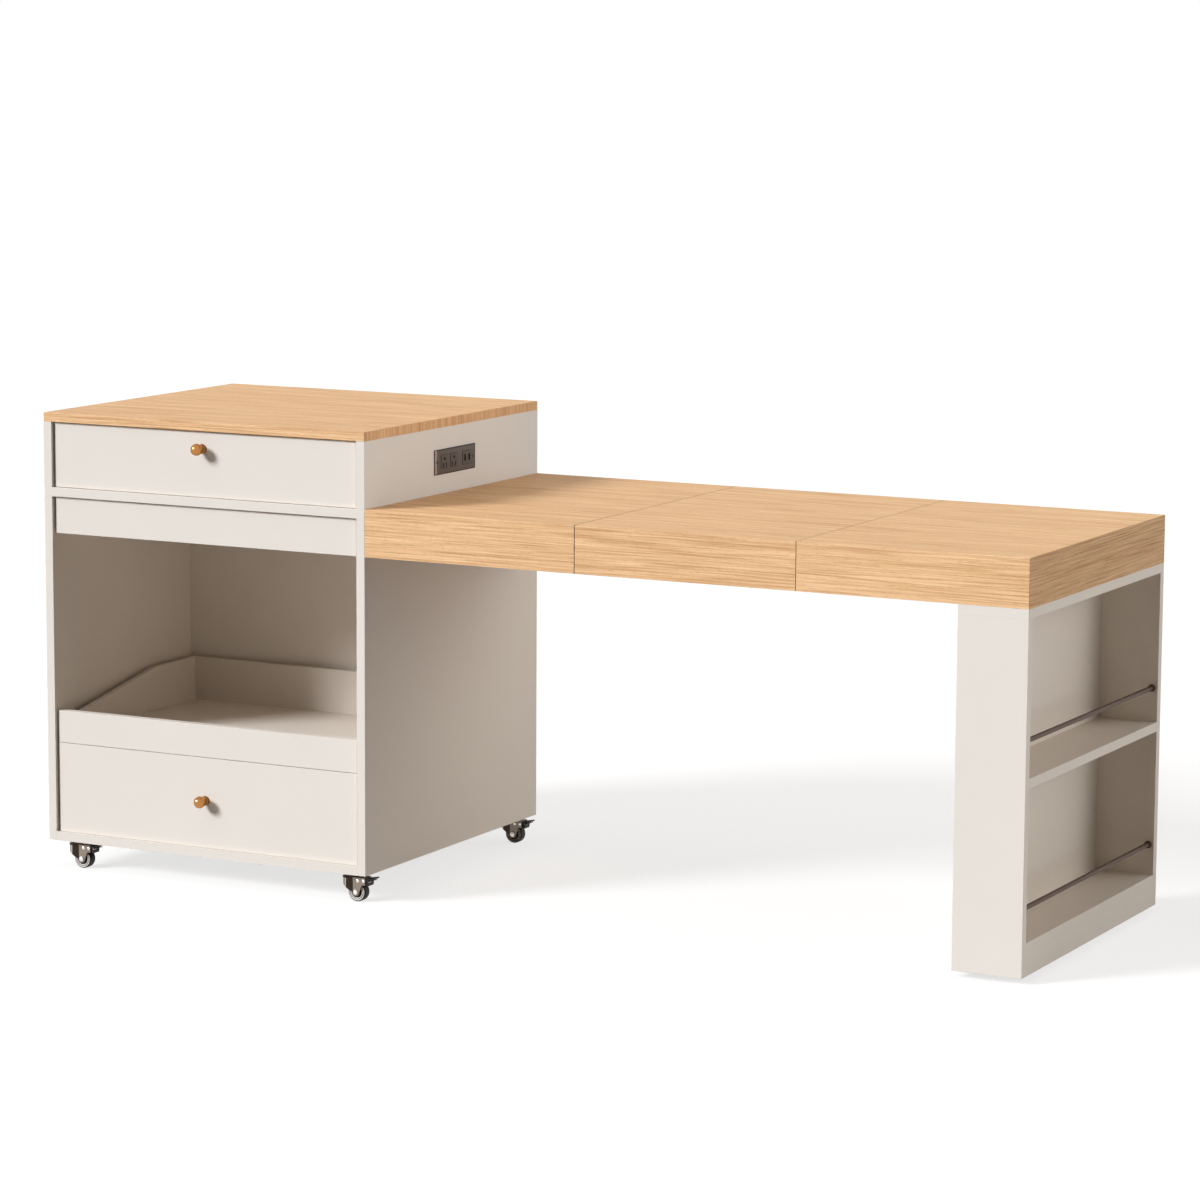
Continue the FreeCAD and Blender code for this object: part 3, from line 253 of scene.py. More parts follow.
# %% Floor
FLOOR_HALF = 12
GLOW_SHARE = 0.65
floor_shape = bmesh.new()
bmesh.ops.create_grid(floor_shape, x_segments=1, y_segments=1, size=FLOOR_HALF)
floor_mesh = bpy.data.meshes.new("studio_floor")
floor_shape.to_mesh(floor_mesh)
floor_shape.free()
floor = bpy.data.objects.new("studio_floor", floor_mesh)
scene.collection.objects.link(floor)
floor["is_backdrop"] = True

floor_material = bpy.data.materials.new("studio_floor")
paper = Finish(floor_material)
shown = paper.node("MixShader", {}, {
    0: GLOW_SHARE,
    1: paper.node("BsdfDiffuse", {}, {"Color": (1, 0.96, 0.9, 1)}),
    2: paper.node("Emission", {}, {"Color": (1, 1, 1, 1), "Strength": 1.12}),
})
bounce = paper.node("BsdfDiffuse", {}, {"Color": (0.37, 0.345, 0.32, 1)})
paper.node("OutputMaterial", {}, {
    "Surface": paper.node("MixShader", {}, {0: seen_directly(paper), 1: bounce, 2: shown}),
})
floor_mesh.materials.append(floor_material)
scene.view_settings.view_transform = "Standard"
print("Floor", 2 * FLOOR_HALF, "m wide")

# %% [markdown]
# ## Cream panels
#
# The cabinet and the leg unit are particle board with a cream, satin paint finish. Sprayed paint is
# never quite flat: it has a fine orange-peel texture and its sheen differs a little from place to place.
# Both come from noise on the board's own coordinates, so they stay in place when a drawer moves, which a
# pattern on world coordinates wouldn't. The drawers' insides are a shade darker and duller. The side above
# the table is painted slightly cooler, as painted light that cancels the warm light the oak throws on it.


# %% Cream paint
def start(name):
    """A new material and its finish."""
    material = bpy.data.materials.new(name)
    return material, Finish(material)


def in_metres(finish, shift=(0, 0, 0), turn=(0, 0, 0)):
    """A piece's own coordinates, moved and turned by a Mapping node."""
    place = finish.node("TexCoord", output="Object")
    return finish.node("Mapping", {"vector_type": "POINT"},
                       {"Vector": place, "Location": shift, "Rotation": turn})


def noise(finish, place, per_metre, detail=2, roughness=0.5):
    """Cloudy noise with a number of features to the metre."""
    return finish.node("TexNoise", {}, {"Vector": place, "Scale": per_metre, "Detail": detail,
                                        "Roughness": roughness})


def paint(name, colour, sheen, depth):
    """Sprayed paint on board."""
    material, finish = start(name)
    place = in_metres(finish)
    cloud = noise(finish, place, 6)
    peel = noise(finish, place, 900)
    darker = [share * 0.965 for share in colour[:3]] + [1]
    look = finish.node("BsdfPrincipled", {}, {
        "Base Color": finish.blend(cloud, darker, colour),
        "Roughness": sheen + 0.08 * cloud,
        "Specular IOR Level": 0.2,
        "Normal": finish.node("Bump", {}, {"Strength": 0.25, "Distance": depth, "Height": peel}),
    })
    finish.node("OutputMaterial", {}, {"Surface": look})
    return material


cream = paint("cream_paint", shade(235, 224, 211), 0.42, 0.00006)
drawer_cream = paint("drawer_cream", shade(230, 218, 204), 0.55, 0.00008)
# Painted light: a cooler cream that cancels the warm light the oak throws on the side.
side_cream_against_bounce = paint("side_cream_against_bounce", shade(235, 231, 224), 0.42, 0.00006)
print(len(bpy.data.materials), "finishes so far")

# %% [markdown]
# ## Oak veneer
#
# The worktop and the table are veneered with straight-grained oak. Wave textures are the usual way to
# wood, but their rings repeat. Here the grain is noise at several widths, drawn out some seventy times
# along the board: bands a centimetre or two wide, streaks, fibres, thin late-wood lines, and the short dark
# pores that make oak look like oak. A slow wander bends the lines a little. Every board starts somewhere
# else in the same endless log, so no two match. On the slab's cut ends the grain stands upright, and they
# are painted darker, as painted shade for the end that turns from the light. The board across the table's
# end is the darkest, also painted shade: it faces away from the light.


# %% Oak
STRETCH = 0.014
GRAIN_TURN = {"X": (0, 0, 0), "Y": (0, 0, math.radians(-90)), "Z": (0, math.radians(90), 0)}


def oak(name, shift, along="X", tone=1):
    """Oak veneer whose grain runs along X, Y or Z. A tone below 1 darkens it, as painted shade."""
    material, finish = start(name)

    def hue(red, green, blue):
        return [share * tone for share in shade(red, green, blue)[:3]] + [1]

    place = in_metres(finish, shift, GRAIN_TURN[along])
    drawn_out = finish.node("VectorMath", {"operation": "MULTIPLY"}, {0: place, 1: (STRETCH, 1, 1)})
    wander = finish.node("TexNoise", {}, {"Vector": drawn_out, "Scale": 11, "Detail": 1}, output=1)
    bent = finish.node("VectorMath", {"operation": "MULTIPLY_ADD"},
                       {0: wander, 1: (0, 0.012, 0.012), 2: drawn_out})
    bands = noise(finish, bent, 60)
    streaks = noise(finish, bent, 300, roughness=0.6)
    fibres = noise(finish, bent, 620, roughness=0.6)
    lines = finish.node("MapRange", {"interpolation_type": "SMOOTHSTEP"},
                        {"Value": noise(finish, bent, 400, 1), "From Min": 0.56, "From Max": 0.68})
    pore_place = finish.node("VectorMath", {"operation": "MULTIPLY"}, {0: bent, 1: (4, 1, 1)})
    specks = noise(finish, pore_place, 1300, 1)
    pores = finish.node("MapRange", {"interpolation_type": "SMOOTHSTEP"},
                        {"Value": specks, "From Min": 0.6, "From Max": 0.7})
    grain = bands * 0.2 + streaks * 0.46 + fibres * 0.34
    wood = finish.node("ValToRGB", {"stops": [
        (0.38, hue(210, 156, 109)),
        (0.46, hue(231, 183, 133)),
        (0.54, hue(244, 198, 148)),
        (0.63, hue(253, 211, 161)),
    ]}, {"Fac": grain})
    lined = finish.blend(0.5 * lines, wood, hue(190, 136, 92))
    dark = finish.blend(pores * (0.2 + 0.3 * streaks), lined, hue(160, 112, 70))
    look = finish.node("BsdfPrincipled", {}, {
        "Base Color": dark,
        "Roughness": 0.62 - 0.1 * grain + 0.15 * pores,
        "Specular IOR Level": 0.12,
        "Normal": finish.node("Bump", {}, {"Strength": 0.35, "Distance": 0.00012,
                                           "Height": fibres * 0.5 - pores}),
    })
    finish.node("OutputMaterial", {}, {"Surface": look})
    return material


oak_slab = oak("oak_slab", (0.3, 1.1, 0.2))
# The slab's ends are painted darker: painted shade.
oak_slab_ends_shaded = oak("oak_slab_ends_shaded", (2.3, 0.4, 1.2), "Z", 0.94)
oak_fixed = oak("oak_fixed_section", (4.1, 0.25, 2.2))
oak_leaf = oak("oak_leaf", (6.7, 1.6, 3.1))
oak_end = oak("oak_end_section", (9.2, 2.9, 0.7))
# The table's end board is painted darker still: painted shade, as it faces away from the light.
oak_end_face_shaded = oak("oak_end_face_shaded", (1.4, 3.3, 5.2), "Y", 0.83)
print("Grain drawn out", round(1 / STRETCH), "times")

# %% [markdown]
# ## Metal
#
# Metal is told by its reflections more than by its colour, so its roughness does most of the work. Drawn
# sheet and bar have faint lines along their length, which are noise stretched that way, and cast and
# turned parts have a finer, cloudier polish. A scratched picture texture would show more, but at this
# distance nobody could see it.


# %% Metals
def metal(name, colour, polish, marks=0.1, drawn=(1, 1, 1), per_metre=600, metallic=1):
    """Metal whose polish and tone vary with fine marks."""
    material, finish = start(name)
    stretched = finish.node("VectorMath", {"operation": "MULTIPLY"},
                            {0: in_metres(finish), 1: drawn})
    lines = noise(finish, stretched, per_metre, 3, 0.6)
    cloud = noise(finish, in_metres(finish), 40)
    dull = [share * 0.82 for share in colour[:3]] + [1]
    look = finish.node("BsdfPrincipled", {}, {
        "Base Color": finish.blend(lines * 0.6 + cloud * 0.4, dull, colour),
        "Metallic": metallic,
        "Roughness": polish + marks * (lines - 0.5) + 0.06 * cloud,
        "Normal": finish.node("Bump", {}, {"Strength": 0.2, "Distance": 0.00004, "Height": lines}),
    })
    finish.node("OutputMaterial", {}, {"Surface": look})
    return material


copper = metal("copper_knob", shade(198, 138, 80), 0.16, 0.06)
# Darker copper for the knob's collar and neck: painted shade and painted dark reflection.
copper_painted_shade = metal("copper_painted_shade", shade(142, 94, 50), 0.3, 0.1)
bronze = metal("dark_bronze", shade(92, 77, 67), 0.38, 0.1, (1, 0.05, 1), 900, 0.6)
# Paler bronze for the outlet plate's front bevel: a painted highlight.
bevel_highlight_bronze = metal("bevel_highlight_bronze", shade(158, 144, 132), 0.34, 0.1, (1, 0.05, 1), 900, 0.7)
rail_bronze = metal("rail_bronze", shade(90, 71, 59), 0.44, 0.1, (1, 0.04, 1), 900)
zinc = metal("zinc_steel", shade(176, 174, 170), 0.34, 0.15, (1, 0.05, 1), 700)
channel_steel = metal("channel_steel", shade(168, 166, 162), 0.36, 0.15, (0.05, 1, 1), 700)
caster_metal = metal("caster_metal", shade(142, 128, 116), 0.4, 0.12)
caster_black = metal("caster_black", shade(24, 19, 16), 0.5, 0.12, metallic=0.3)
bright_steel = metal("bright_steel", shade(240, 236, 230), 0.24, 0.1)
# Paler plate for a narrow band on the skirt: a painted highlight.
skirt_highlight = metal("skirt_highlight", shade(204, 190, 176), 0.3, 0.1)
# Dark plate for the skirt's front: a painted dark reflection.
skirt_dark_reflection = metal("skirt_dark_reflection", shade(62, 52, 46), 0.3, 0.12)
print(len(bpy.data.materials), "finishes so far")

# %% [markdown]
# ## Plastic and rubber
#
# Moulded plastic has no lines, only the fine, even grain of its mould, and it reflects little. The same
# recipe serves the sockets, the feet and the wheels, in other colours.


# %% Plastics
def moulded(name, colour, dullness):
    """Moulded plastic or rubber with a fine grain."""
    material, finish = start(name)
    place = in_metres(finish)
    grain = noise(finish, place, 1500)
    cloud = noise(finish, place, 50)
    dull = [share * 0.85 for share in colour[:3]] + [1]
    look = finish.node("BsdfPrincipled", {}, {
        "Base Color": finish.blend(cloud, dull, colour),
        "Roughness": dullness + 0.1 * (grain - 0.5),
        "Specular IOR Level": 0.25,
        "Normal": finish.node("Bump", {}, {"Strength": 0.3, "Distance": 0.00004, "Height": grain}),
    })
    finish.node("OutputMaterial", {}, {"Surface": look})
    return material


socket_plastic = moulded("socket_plastic", shade(88, 74, 65), 0.45)
# Near-black for recesses, gaps and rims on the outlet: painted shade.
slot_shade_plastic = moulded("slot_shade_plastic", shade(18, 14, 12), 0.8)
box_plastic = moulded("box_plastic", shade(60, 58, 56), 0.6)
foot_plastic = moulded("foot_plastic", shade(52, 50, 48), 0.6)
tread_rubber = moulded("tread_rubber", shade(22, 17, 14), 0.5)
wheel_pale = moulded("wheel_pale", shade(242, 234, 224), 0.25)
# Darker tones for the wheel's groove and well: painted shade.
wheel_groove = moulded("wheel_groove", shade(136, 122, 110), 0.4)
wheel_well = moulded("wheel_well", shade(46, 38, 33), 0.6)
print(len(bpy.data.materials), "finishes so far")

# %% [markdown]
# ## Plain hardwood
#
# The table's runner bars are plain hardwood, and a veneered board shows a dark edge where it is cut. Both
# are hardly seen, so bands and fibres between two tones are enough.


# %% Hardwood
def hardwood(name, dark, light):
    """Plain, straight-grained wood between two tones."""
    material, finish = start(name)
    drawn_out = finish.node("VectorMath", {"operation": "MULTIPLY"},
                            {0: in_metres(finish), 1: (0.05, 1, 1)})
    bands = noise(finish, drawn_out, 60, 3, 0.6)
    fibres = noise(finish, drawn_out, 900, roughness=0.6)
    look = finish.node("BsdfPrincipled", {}, {
        "Base Color": finish.blend(bands * 0.7 + fibres * 0.3, dark, light),
        "Roughness": 0.5 + 0.1 * fibres,
        "Normal": finish.node("Bump", {}, {"Strength": 0.3, "Distance": 0.0001, "Height": fibres}),
    })
    finish.node("OutputMaterial", {}, {"Surface": look})
    return material


bar_wood = hardwood("bar_hardwood", shade(160, 118, 78), shade(204, 162, 116))
veneer_edge = hardwood("veneer_edge", shade(78, 50, 30), shade(104, 70, 42))
print(len(bpy.data.materials), "finishes")

# %% [markdown]
# ## From a shape to a piece
#
# A new piece takes the name of the CAD node that it stands for and moves with that node's body, which the
# record gives, while the CAD node itself is hidden. One helper does all of that, so no piece can be
# left behind when a drawer opens. Smooth shading with a Weighted Normal modifier keeps the big faces
# flat while the narrow rounded corners catch the light.

# %% Pieces
BODY_OF = {node: body for body, nodes in frame["record"]["behaviour"]["bodies"].items()
           for node in nodes}
dressed = []
WELD = 0.002 * MM
FLAT = math.radians(0.5)


def piece(shape, node, finishes, crease=40):
    """Make a shape, in metres, the piece that stands for a CAD node."""
    name = node + "_piece"
    mesh = bpy.data.meshes.new(name)
    shape.to_mesh(mesh)
    shape.free()
    for finish in finishes:
        mesh.materials.append(finish)
    mesh.shade_smooth()
    mesh.set_sharp_from_angle(angle=math.radians(crease))
    made = bpy.data.objects.new(name, mesh)
    scene.collection.objects.link(made)
    made.modifiers.new("even_shading", "WEIGHTED_NORMAL").keep_sharp = True
    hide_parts(node)
    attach(made, BODY_OF[node])
    dressed.append(node)


def merged(node):
    """A copy of a CAD node as one skin, with the flat faces whole again."""
    shape = bmesh.new()
    shape.from_mesh(frame["nodes"][node].data)
    bmesh.ops.remove_doubles(shape, verts=shape.verts, dist=WELD)
    bmesh.ops.dissolve_limit(shape, angle_limit=FLAT, verts=shape.verts, edges=shape.edges)
    return shape


def eased(shape, width, segments=3, from_degrees=30, to_degrees=100):
    """Round the corners of a shape, but not the knife edge of a mitre."""
    corners = [edge for edge in shape.edges if edge.is_manifold
               and math.radians(from_degrees) < edge.calc_face_angle() < math.radians(to_degrees)]
    bmesh.ops.bevel(shape, geom=corners, offset=width, offset_type="OFFSET", segments=segments,
                    profile=0.5, affect="EDGES", clamp_overlap=True, material=-1)
    return shape


# %% [markdown]
# ## Boards
#
# Edge-banded boards have a tiny round on every corner, under a millimetre, and that thin highlight is
# what tells a real board from a drawn box. Each board is a copy of its CAD node with the corners
# bevelled, so its place and size are exactly the model's. A Bevel modifier would do the same, but here
# the operator gets only the corners that it should round.

# %% Cream boards
PANEL_ROUND = 0.45 * MM
CREAM_BOARDS = (
    "cabinet_back", "deck_panel", "lower_sides", "false_front", "niche_ceiling",
    "niche_back", "upper_drawer_front", "lower_drawer_front", "tray_front",
    "leg_top_panel", "leg_side_panels", "leg_back_panel", "leg_shelves", "leg_kick_panel",
)
for node in CREAM_BOARDS:
    piece(eased(merged(node), PANEL_ROUND), node, [cream])

sides = eased(merged("upper_sides"), PANEL_ROUND)
# The outward face gets the cooler cream: painted light against the oak's warm bounce.
for face in sides.faces:
    face.material_index = 1 if face.normal.x > 0.9 else 0
piece(sides, "upper_sides", [cream, side_cream_against_bounce])

DRAWER_ROUND = 0.5 * MM
DRAWER_BOARDS = [f"{level}_{board}" for level in ("upper_drawer", "tray", "lower_drawer")
                 for board in ("sides", "back", "bottom")]
for node in DRAWER_BOARDS:
    piece(eased(merged(node), DRAWER_ROUND), node, [drawer_cream])
print(len(dressed), "cream boards")


# %% [markdown]
# ## Oak boards
#
# The worktop is one slab with rounded edges. Its two cut ends get a finish of their own, whose grain
# stands upright. A second material on the same mesh does that, and no second board is needed.


# %% Oak slab
def end_faces(shape, index):
    """Give the faces that look along X their own finish."""
    for face in shape.faces:
        if abs(face.normal.x) > 0.9:
            face.material_index = index
    return shape


SLAB_ROUND = 0.9 * MM
slab = end_faces(eased(merged("cabinet_top"), SLAB_ROUND), 1)
print("Slab of", len(slab.faces), "faces")
piece(slab, "cabinet_top", [oak_slab, oak_slab_ends_shaded])

# %% [markdown]
# ## Mitred table boards
#
# The table's tops and aprons meet in mitres, so the veneer seems to fold over the edge. A mitre's knife
# edge can't be bevelled without opening a groove, so both boards are sliced at 45 degrees instead:
# `bisect_plane` takes the same sliver off each, and the two cuts make one small chamfer. The square
# corners, such as those where two sections of the table meet, get a small round, and the cut ends inside
# a seam are a dark brown, so each seam reads as a fine dark line.


# %% Table boards
CHAMFER = 0.6 * MM
SEAM_ROUND = 0.8 * MM
SQUARE = 80
SEAM_REACH = 5 * SEAM_ROUND
FLAT_CREASE = 15


def sliced(shape, corner, direction):
    """Take off what lies past a slanting plane, and close the cut."""
    way = Vector(direction).normalized()
    through = Vector(corner) - way * CHAMFER / math.sqrt(2)
    cut = bmesh.ops.bisect_plane(shape, geom=shape.verts[:] + shape.edges[:] + shape.faces[:],
                                 plane_co=through, plane_no=way, clear_outer=True)
    rim = [item for item in cut["geom_cut"] if isinstance(item, bmesh.types.BMEdge)]
    bmesh.ops.edgeloop_fill(shape, edges=rim)
    return shape


LOW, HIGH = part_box("end_table_top")
FRONT_EDGE = (0, LOW.y, HIGH.z)
REAR_EDGE = (0, HIGH.y, HIGH.z)
END_EDGE = (HIGH.x, 0, HIGH.z)
FRONT_CORNER = (HIGH.x, LOW.y, 0)
REAR_CORNER = (HIGH.x, HIGH.y, 0)
FOLDS = {
    "front": (FRONT_EDGE, (0, -1, 1)),
    "rear": (REAR_EDGE, (0, 1, 1)),
    "end": (END_EDGE, (1, 0, 1)),
    "front_corner": (FRONT_CORNER, (1, -1, 0)),
    "rear_corner": (REAR_CORNER, (1, 1, 0)),
}
TABLE_BOARDS = {
    "fixed_table_top": (oak_fixed, ("front", "rear")),
    "fixed_table_aprons": (oak_fixed, ("front", "rear")),
    "leaf_top": (oak_leaf, ("front", "rear")),
    "leaf_aprons": (oak_leaf, ("front", "rear")),
    "end_table_top": (oak_end, ("front", "rear", "end")),
    "end_table_aprons": (oak_end, ("front", "rear", "front_corner", "rear_corner")),
    "end_apron": (oak_end_face_shaded, ("end", "front_corner", "rear_corner")),
}
for node, (finish, folds) in TABLE_BOARDS.items():
    shape = merged(node)
    for fold in folds:
        sliced(shape, *FOLDS[fold])
    eased(shape, SEAM_ROUND, 2, SQUARE)
    for face in shape.faces:
        in_a_seam = abs(face.normal.x) > 0.3 and face.calc_center_median().x < HIGH.x - SEAM_REACH
        face.material_index = 1 if in_a_seam and node != "end_apron" else 0
    piece(shape, node, [finish, veneer_edge], FLAT_CREASE)
print(len(dressed), "boards, the oak ones with them")

# %% [markdown]
# ## Turned parts
#
# Knobs, wheels, rails and feet are all round about one line, so each starts as half of its outline, in
# millimetres from that line, and `spin` carries the outline round. Stacked cylinders would leave hidden
# faces and hard steps. Bevelling the outline's corners before the spin rounds them all in one go, and
# joining the last step to the first closes the seam. The helpers after it turn, paint, join and place
# such shapes.


# %% Lathe
def turned(points, steps=48, rounding=0, closed=False):
    """An outline of (radius, height) points in millimetres, spun about Z."""
    shape = bmesh.new()
    corners = [shape.verts.new((radius, 0, height)) for radius, height in points]
    line = [shape.edges.new(pair) for pair in zip(corners, corners[1:])]
    if closed:
        line.append(shape.edges.new((corners[-1], corners[0])))
    if rounding:
        inner = corners if closed else corners[1:-1]
        bmesh.ops.bevel(shape, geom=inner, offset=rounding, offset_type="OFFSET", segments=3,
                        profile=0.5, affect="VERTICES", clamp_overlap=True, material=-1)
    bmesh.ops.spin(shape, geom=shape.verts[:] + shape.edges[:], cent=(0, 0, 0), axis=(0, 0, 1),
                   angle=math.tau, steps=steps, use_merge=True)
    bmesh.ops.remove_doubles(shape, verts=shape.verts, dist=0.0001)
    bmesh.ops.recalc_face_normals(shape, faces=shape.faces)
    return shape


TURNS = {
    "up": Matrix.Identity(3),
    "down": Matrix.Rotation(math.pi, 3, "X"),
    "front": Matrix.Rotation(math.radians(90), 3, "X"),
    "back": Matrix.Rotation(math.radians(-90), 3, "X"),
    "right": Matrix.Rotation(math.radians(90), 3, "Y"),
}


def facing(shape, way, spot=(0, 0, 0)):
    """Turn a shape's own Z to a direction, then move it, still in millimetres."""
    bmesh.ops.rotate(shape, verts=shape.verts, cent=(0, 0, 0), matrix=TURNS[way])
    bmesh.ops.translate(shape, verts=shape.verts, vec=spot)
    return shape


def joined(shapes):
    """Several shapes as one, each kept whole. The finish numbers of their faces are kept too."""
    whole = bmesh.new()
    for shape in shapes:
        carrier = bpy.data.meshes.new("carrier")
        shape.to_mesh(carrier)
        shape.free()
        whole.from_mesh(carrier)
        bpy.data.meshes.remove(carrier)
    return whole


def painted(shape, index):
    """Give every face of a shape one finish number."""
    for face in shape.faces:
        face.material_index = index
    return shape


def in_place(shape, spot=(0, 0, 0)):
    """Scale a shape from millimetres to metres and move it to its spot, given in metres."""
    bmesh.ops.scale(shape, verts=shape.verts, vec=(MM, MM, MM))
    bmesh.ops.translate(shape, verts=shape.verts, vec=spot)
    return shape


print("Ways to turn a shape:", list(TURNS))

# %% [markdown]
# ## Screw heads
#
# A pan head with a cross recess is too small for fine modelling, but a plain disc gives it away. A boolean
# cut would leave untidy faces. Here the cross is five faces of a small grid, pushed down with an extrusion,
# and `bridge_loops` joins the grid's twelve outer corners to a ring of twelve. All its sizes are shares of
# the head's radius and height.

# %% Pan head
GRID_SHARE = 0.5
ARM_SHARE = 0.14
DOME_SHARES = (0.8, 0.85)
SHOULDER_SHARE = 0.45
RECESS_SHARE = 0.6


def pan_head(radius, height):
    """A pan head on a level surface at height 0, facing up."""
    shape = bmesh.new()
    half = radius * GRID_SHARE
    arm = radius * ARM_SHARE
    bmesh.ops.create_grid(shape, x_segments=3, y_segments=3, size=half)
    for vert in shape.verts:
        for axis in (0, 1):
            if abs(vert.co[axis]) < half * 0.9:
                vert.co[axis] = math.copysign(arm, vert.co[axis])
        vert.co.z = height
    cross = [face for face in shape.faces
             if min(abs(face.calc_center_median().x), abs(face.calc_center_median().y)) < arm * 0.5]
    border = [edge for edge in shape.edges if edge.is_boundary]
    dome = Matrix.Translation((0, 0, height * DOME_SHARES[1]))
    ring = bmesh.ops.create_circle(shape, segments=12, radius=radius * DOME_SHARES[0], matrix=dome)["verts"]
    hoop = [edge for edge in shape.edges if edge.verts[0] in ring]
    bmesh.ops.bridge_loops(shape, edges=border + hoop)
    for level in (height * SHOULDER_SHARE, 0):
        rim = bmesh.ops.extrude_edge_only(shape, edges=hoop)["geom"]
        verts = [item for item in rim if isinstance(item, bmesh.types.BMVert)]
        hoop = [item for item in rim if isinstance(item, bmesh.types.BMEdge)]
        for vert in verts:
            out = Vector((vert.co.x, vert.co.y)).normalized() * radius
            vert.co = (out.x, out.y, level)
    sunk = bmesh.ops.extrude_face_region(shape, geom=cross)["geom"]
    bmesh.ops.delete(shape, geom=cross, context="FACES_ONLY")
    bmesh.ops.translate(shape, vec=(0, 0, -height * RECESS_SHARE),
                        verts=[item for item in sunk if isinstance(item, bmesh.types.BMVert)])
    bmesh.ops.recalc_face_normals(shape, faces=shape.faces)
    return shape


trial = pan_head(1, 1)
print("A screw head has", len(trial.faces), "faces")
trial.free()

# %% [markdown]
# ## Knobs
#
# Each drawer has a ball knob on a rounded collar, turned in one piece and held by a machine screw from
# inside the drawer. The ball's outline is written as a few points on an arc, so it is as round as the
# spin can make it, and the screw's head shows when the drawer is open. The collar and the narrow neck
# get a darker, browner copper than the ball: painted shade and painted dark reflection.

# %% Ball knobs
BALL_RADIUS = 11.8
PROJECTION = 33
COLLAR = [(0, 0), (8.9, 0), (9.2, 0.4), (9.2, 1.4), (8.9, 2.5), (8.2, 3.5), (7.1, 4.3), (6.2, 4.8),
          (5.6, 5.4), (5.3, 6.4), (5.3, 9)]
ARC = range(30, 181, 6)
SHADED_SHARE = 0.8
KNOB_SCREW = (4.5, 2.5)
FRONT_THICK = 18


def ball_knob():
    """A knob that stands on its collar at height 0, with its ball up."""
    centre = PROJECTION - BALL_RADIUS
    turns = [math.radians(angle) for angle in ARC]
    arc = [(BALL_RADIUS * math.sin(turn), centre - BALL_RADIUS * math.cos(turn)) for turn in turns]
    knob = turned(COLLAR + arc[:-1] + [(0, PROJECTION)], 64)
    # Faces below this height, the collar and the neck, get the darker copper as painted shade.
    shaded_from = centre - BALL_RADIUS * SHADED_SHARE
    for face in knob.faces:
        face.material_index = 2 if face.calc_center_median().z < shaded_from else 0
    return knob


for level in ("upper_drawer", "lower_drawer"):
    node = level + "_knob"
    low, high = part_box(node)
    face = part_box(level + "_front")[0].y
    middle = ((low.x + high.x) / 2, face, (low.z + high.z) / 2)
    screw = painted(facing(pan_head(*KNOB_SCREW), "back", (0, FRONT_THICK, 0)), 1)
    knob = in_place(joined([facing(ball_knob(), "front"), screw]), middle)
    piece(knob, node, [copper, zinc, copper_painted_shade], 50)
print("Knobs reach", round((face - low.y) / MM, 1), "mm out")

# %% [markdown]
# ## Outlet
#
# Two sockets and a pair of charging ports sit in a dark bronze plate on the cabinet's right side. The
# plate and its inserts are the model's own, with their edges broken, and the two plate screws are new.
# `islands` finds the separate solids in a node by walking from corner to corner along the edges. What
# lies back from the surface, such as a slot's walls or the gap round an insert, gets a near-black finish as
# painted shade: the openings are what an eye looks for on a socket, and at this size light alone hardly
# draws them. The plate's front bevel gets a paler bronze, a painted highlight, and its other bevels are
# painted black, as painted shade.


# %% Outlet plate
def islands(shape):
    """The corners of each separate solid in a shape, the largest solid first."""
    left = set(shape.verts)
    found = []
    while left:
        reached = {left.pop()}
        edge_of = list(reached)
        while edge_of:
            vert = edge_of.pop()
            for edge in vert.link_edges:
                other = edge.other_vert(vert)
                if other in left:
                    left.remove(other)
                    reached.add(other)
                    edge_of.append(other)
        found.append(reached)
    return sorted(found, key=lambda verts: -Vector(extent(verts)).length)


def extent(verts):
    """How far some corners reach along X, Y and Z."""
    return [max(vert.co[axis] for vert in verts) - min(vert.co[axis] for vert in verts)
            for axis in range(3)]


def largest(node):
    """A merged copy of a node's largest solid alone."""
    shape = merged(node)
    for verts in islands(shape)[1:]:
        bmesh.ops.delete(shape, geom=list(verts), context="VERTS")
    return shape


PLATE_SCREW = (3.3, 1.2)
PLATE_SCREW_INSET = 8.7
PLATE_ROUND = 0.45 * MM
INSERT_ROUND = 0.4 * MM
WINDOW_HALF = 14.5 * MM
WINDOW_INSETS = (15 * MM, 10 * MM)
low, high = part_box("outlet_plate")
plate_face = high.x - PLATE_SCREW[1] * MM
height = (low.z + high.z) / 2
window_ends = (low.y + WINDOW_INSETS[0], high.y - WINDOW_INSETS[1])
plate = eased(largest("outlet_plate"), PLATE_ROUND, 2, 15)
for face in plate.faces:
    middle = face.calc_center_median()
    # Window walls get near-black and the side bevels black: painted shade. The front bevel gets paler
    # bronze: a painted highlight.
    inside = abs(middle.z - height) < WINDOW_HALF and abs(face.normal.x) < 0.9
    face.material_index = 2 if inside and window_ends[0] < middle.y < window_ends[1] else 0
    if face.normal.x > 0.3 and face.normal.y < -0.1:
        face.material_index = 3
    elif face.normal.x > 0.3 and max(face.normal.y, abs(face.normal.z)) > 0.1 and not inside:
        face.material_index = 1
parts = [plate]
for along in (low.y + PLATE_SCREW_INSET * MM, high.y - PLATE_SCREW_INSET * MM):
    head = painted(facing(pan_head(*PLATE_SCREW), "right"), 1)
    parts.append(in_place(head, (plate_face, along, height)))
piece(joined(parts), "outlet_plate", [bronze, caster_black, slot_shade_plastic, bevel_highlight_bronze])

inserts = eased(merged("outlet_inserts"), INSERT_ROUND, 2)
insert_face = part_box("outlet_inserts")[1].x
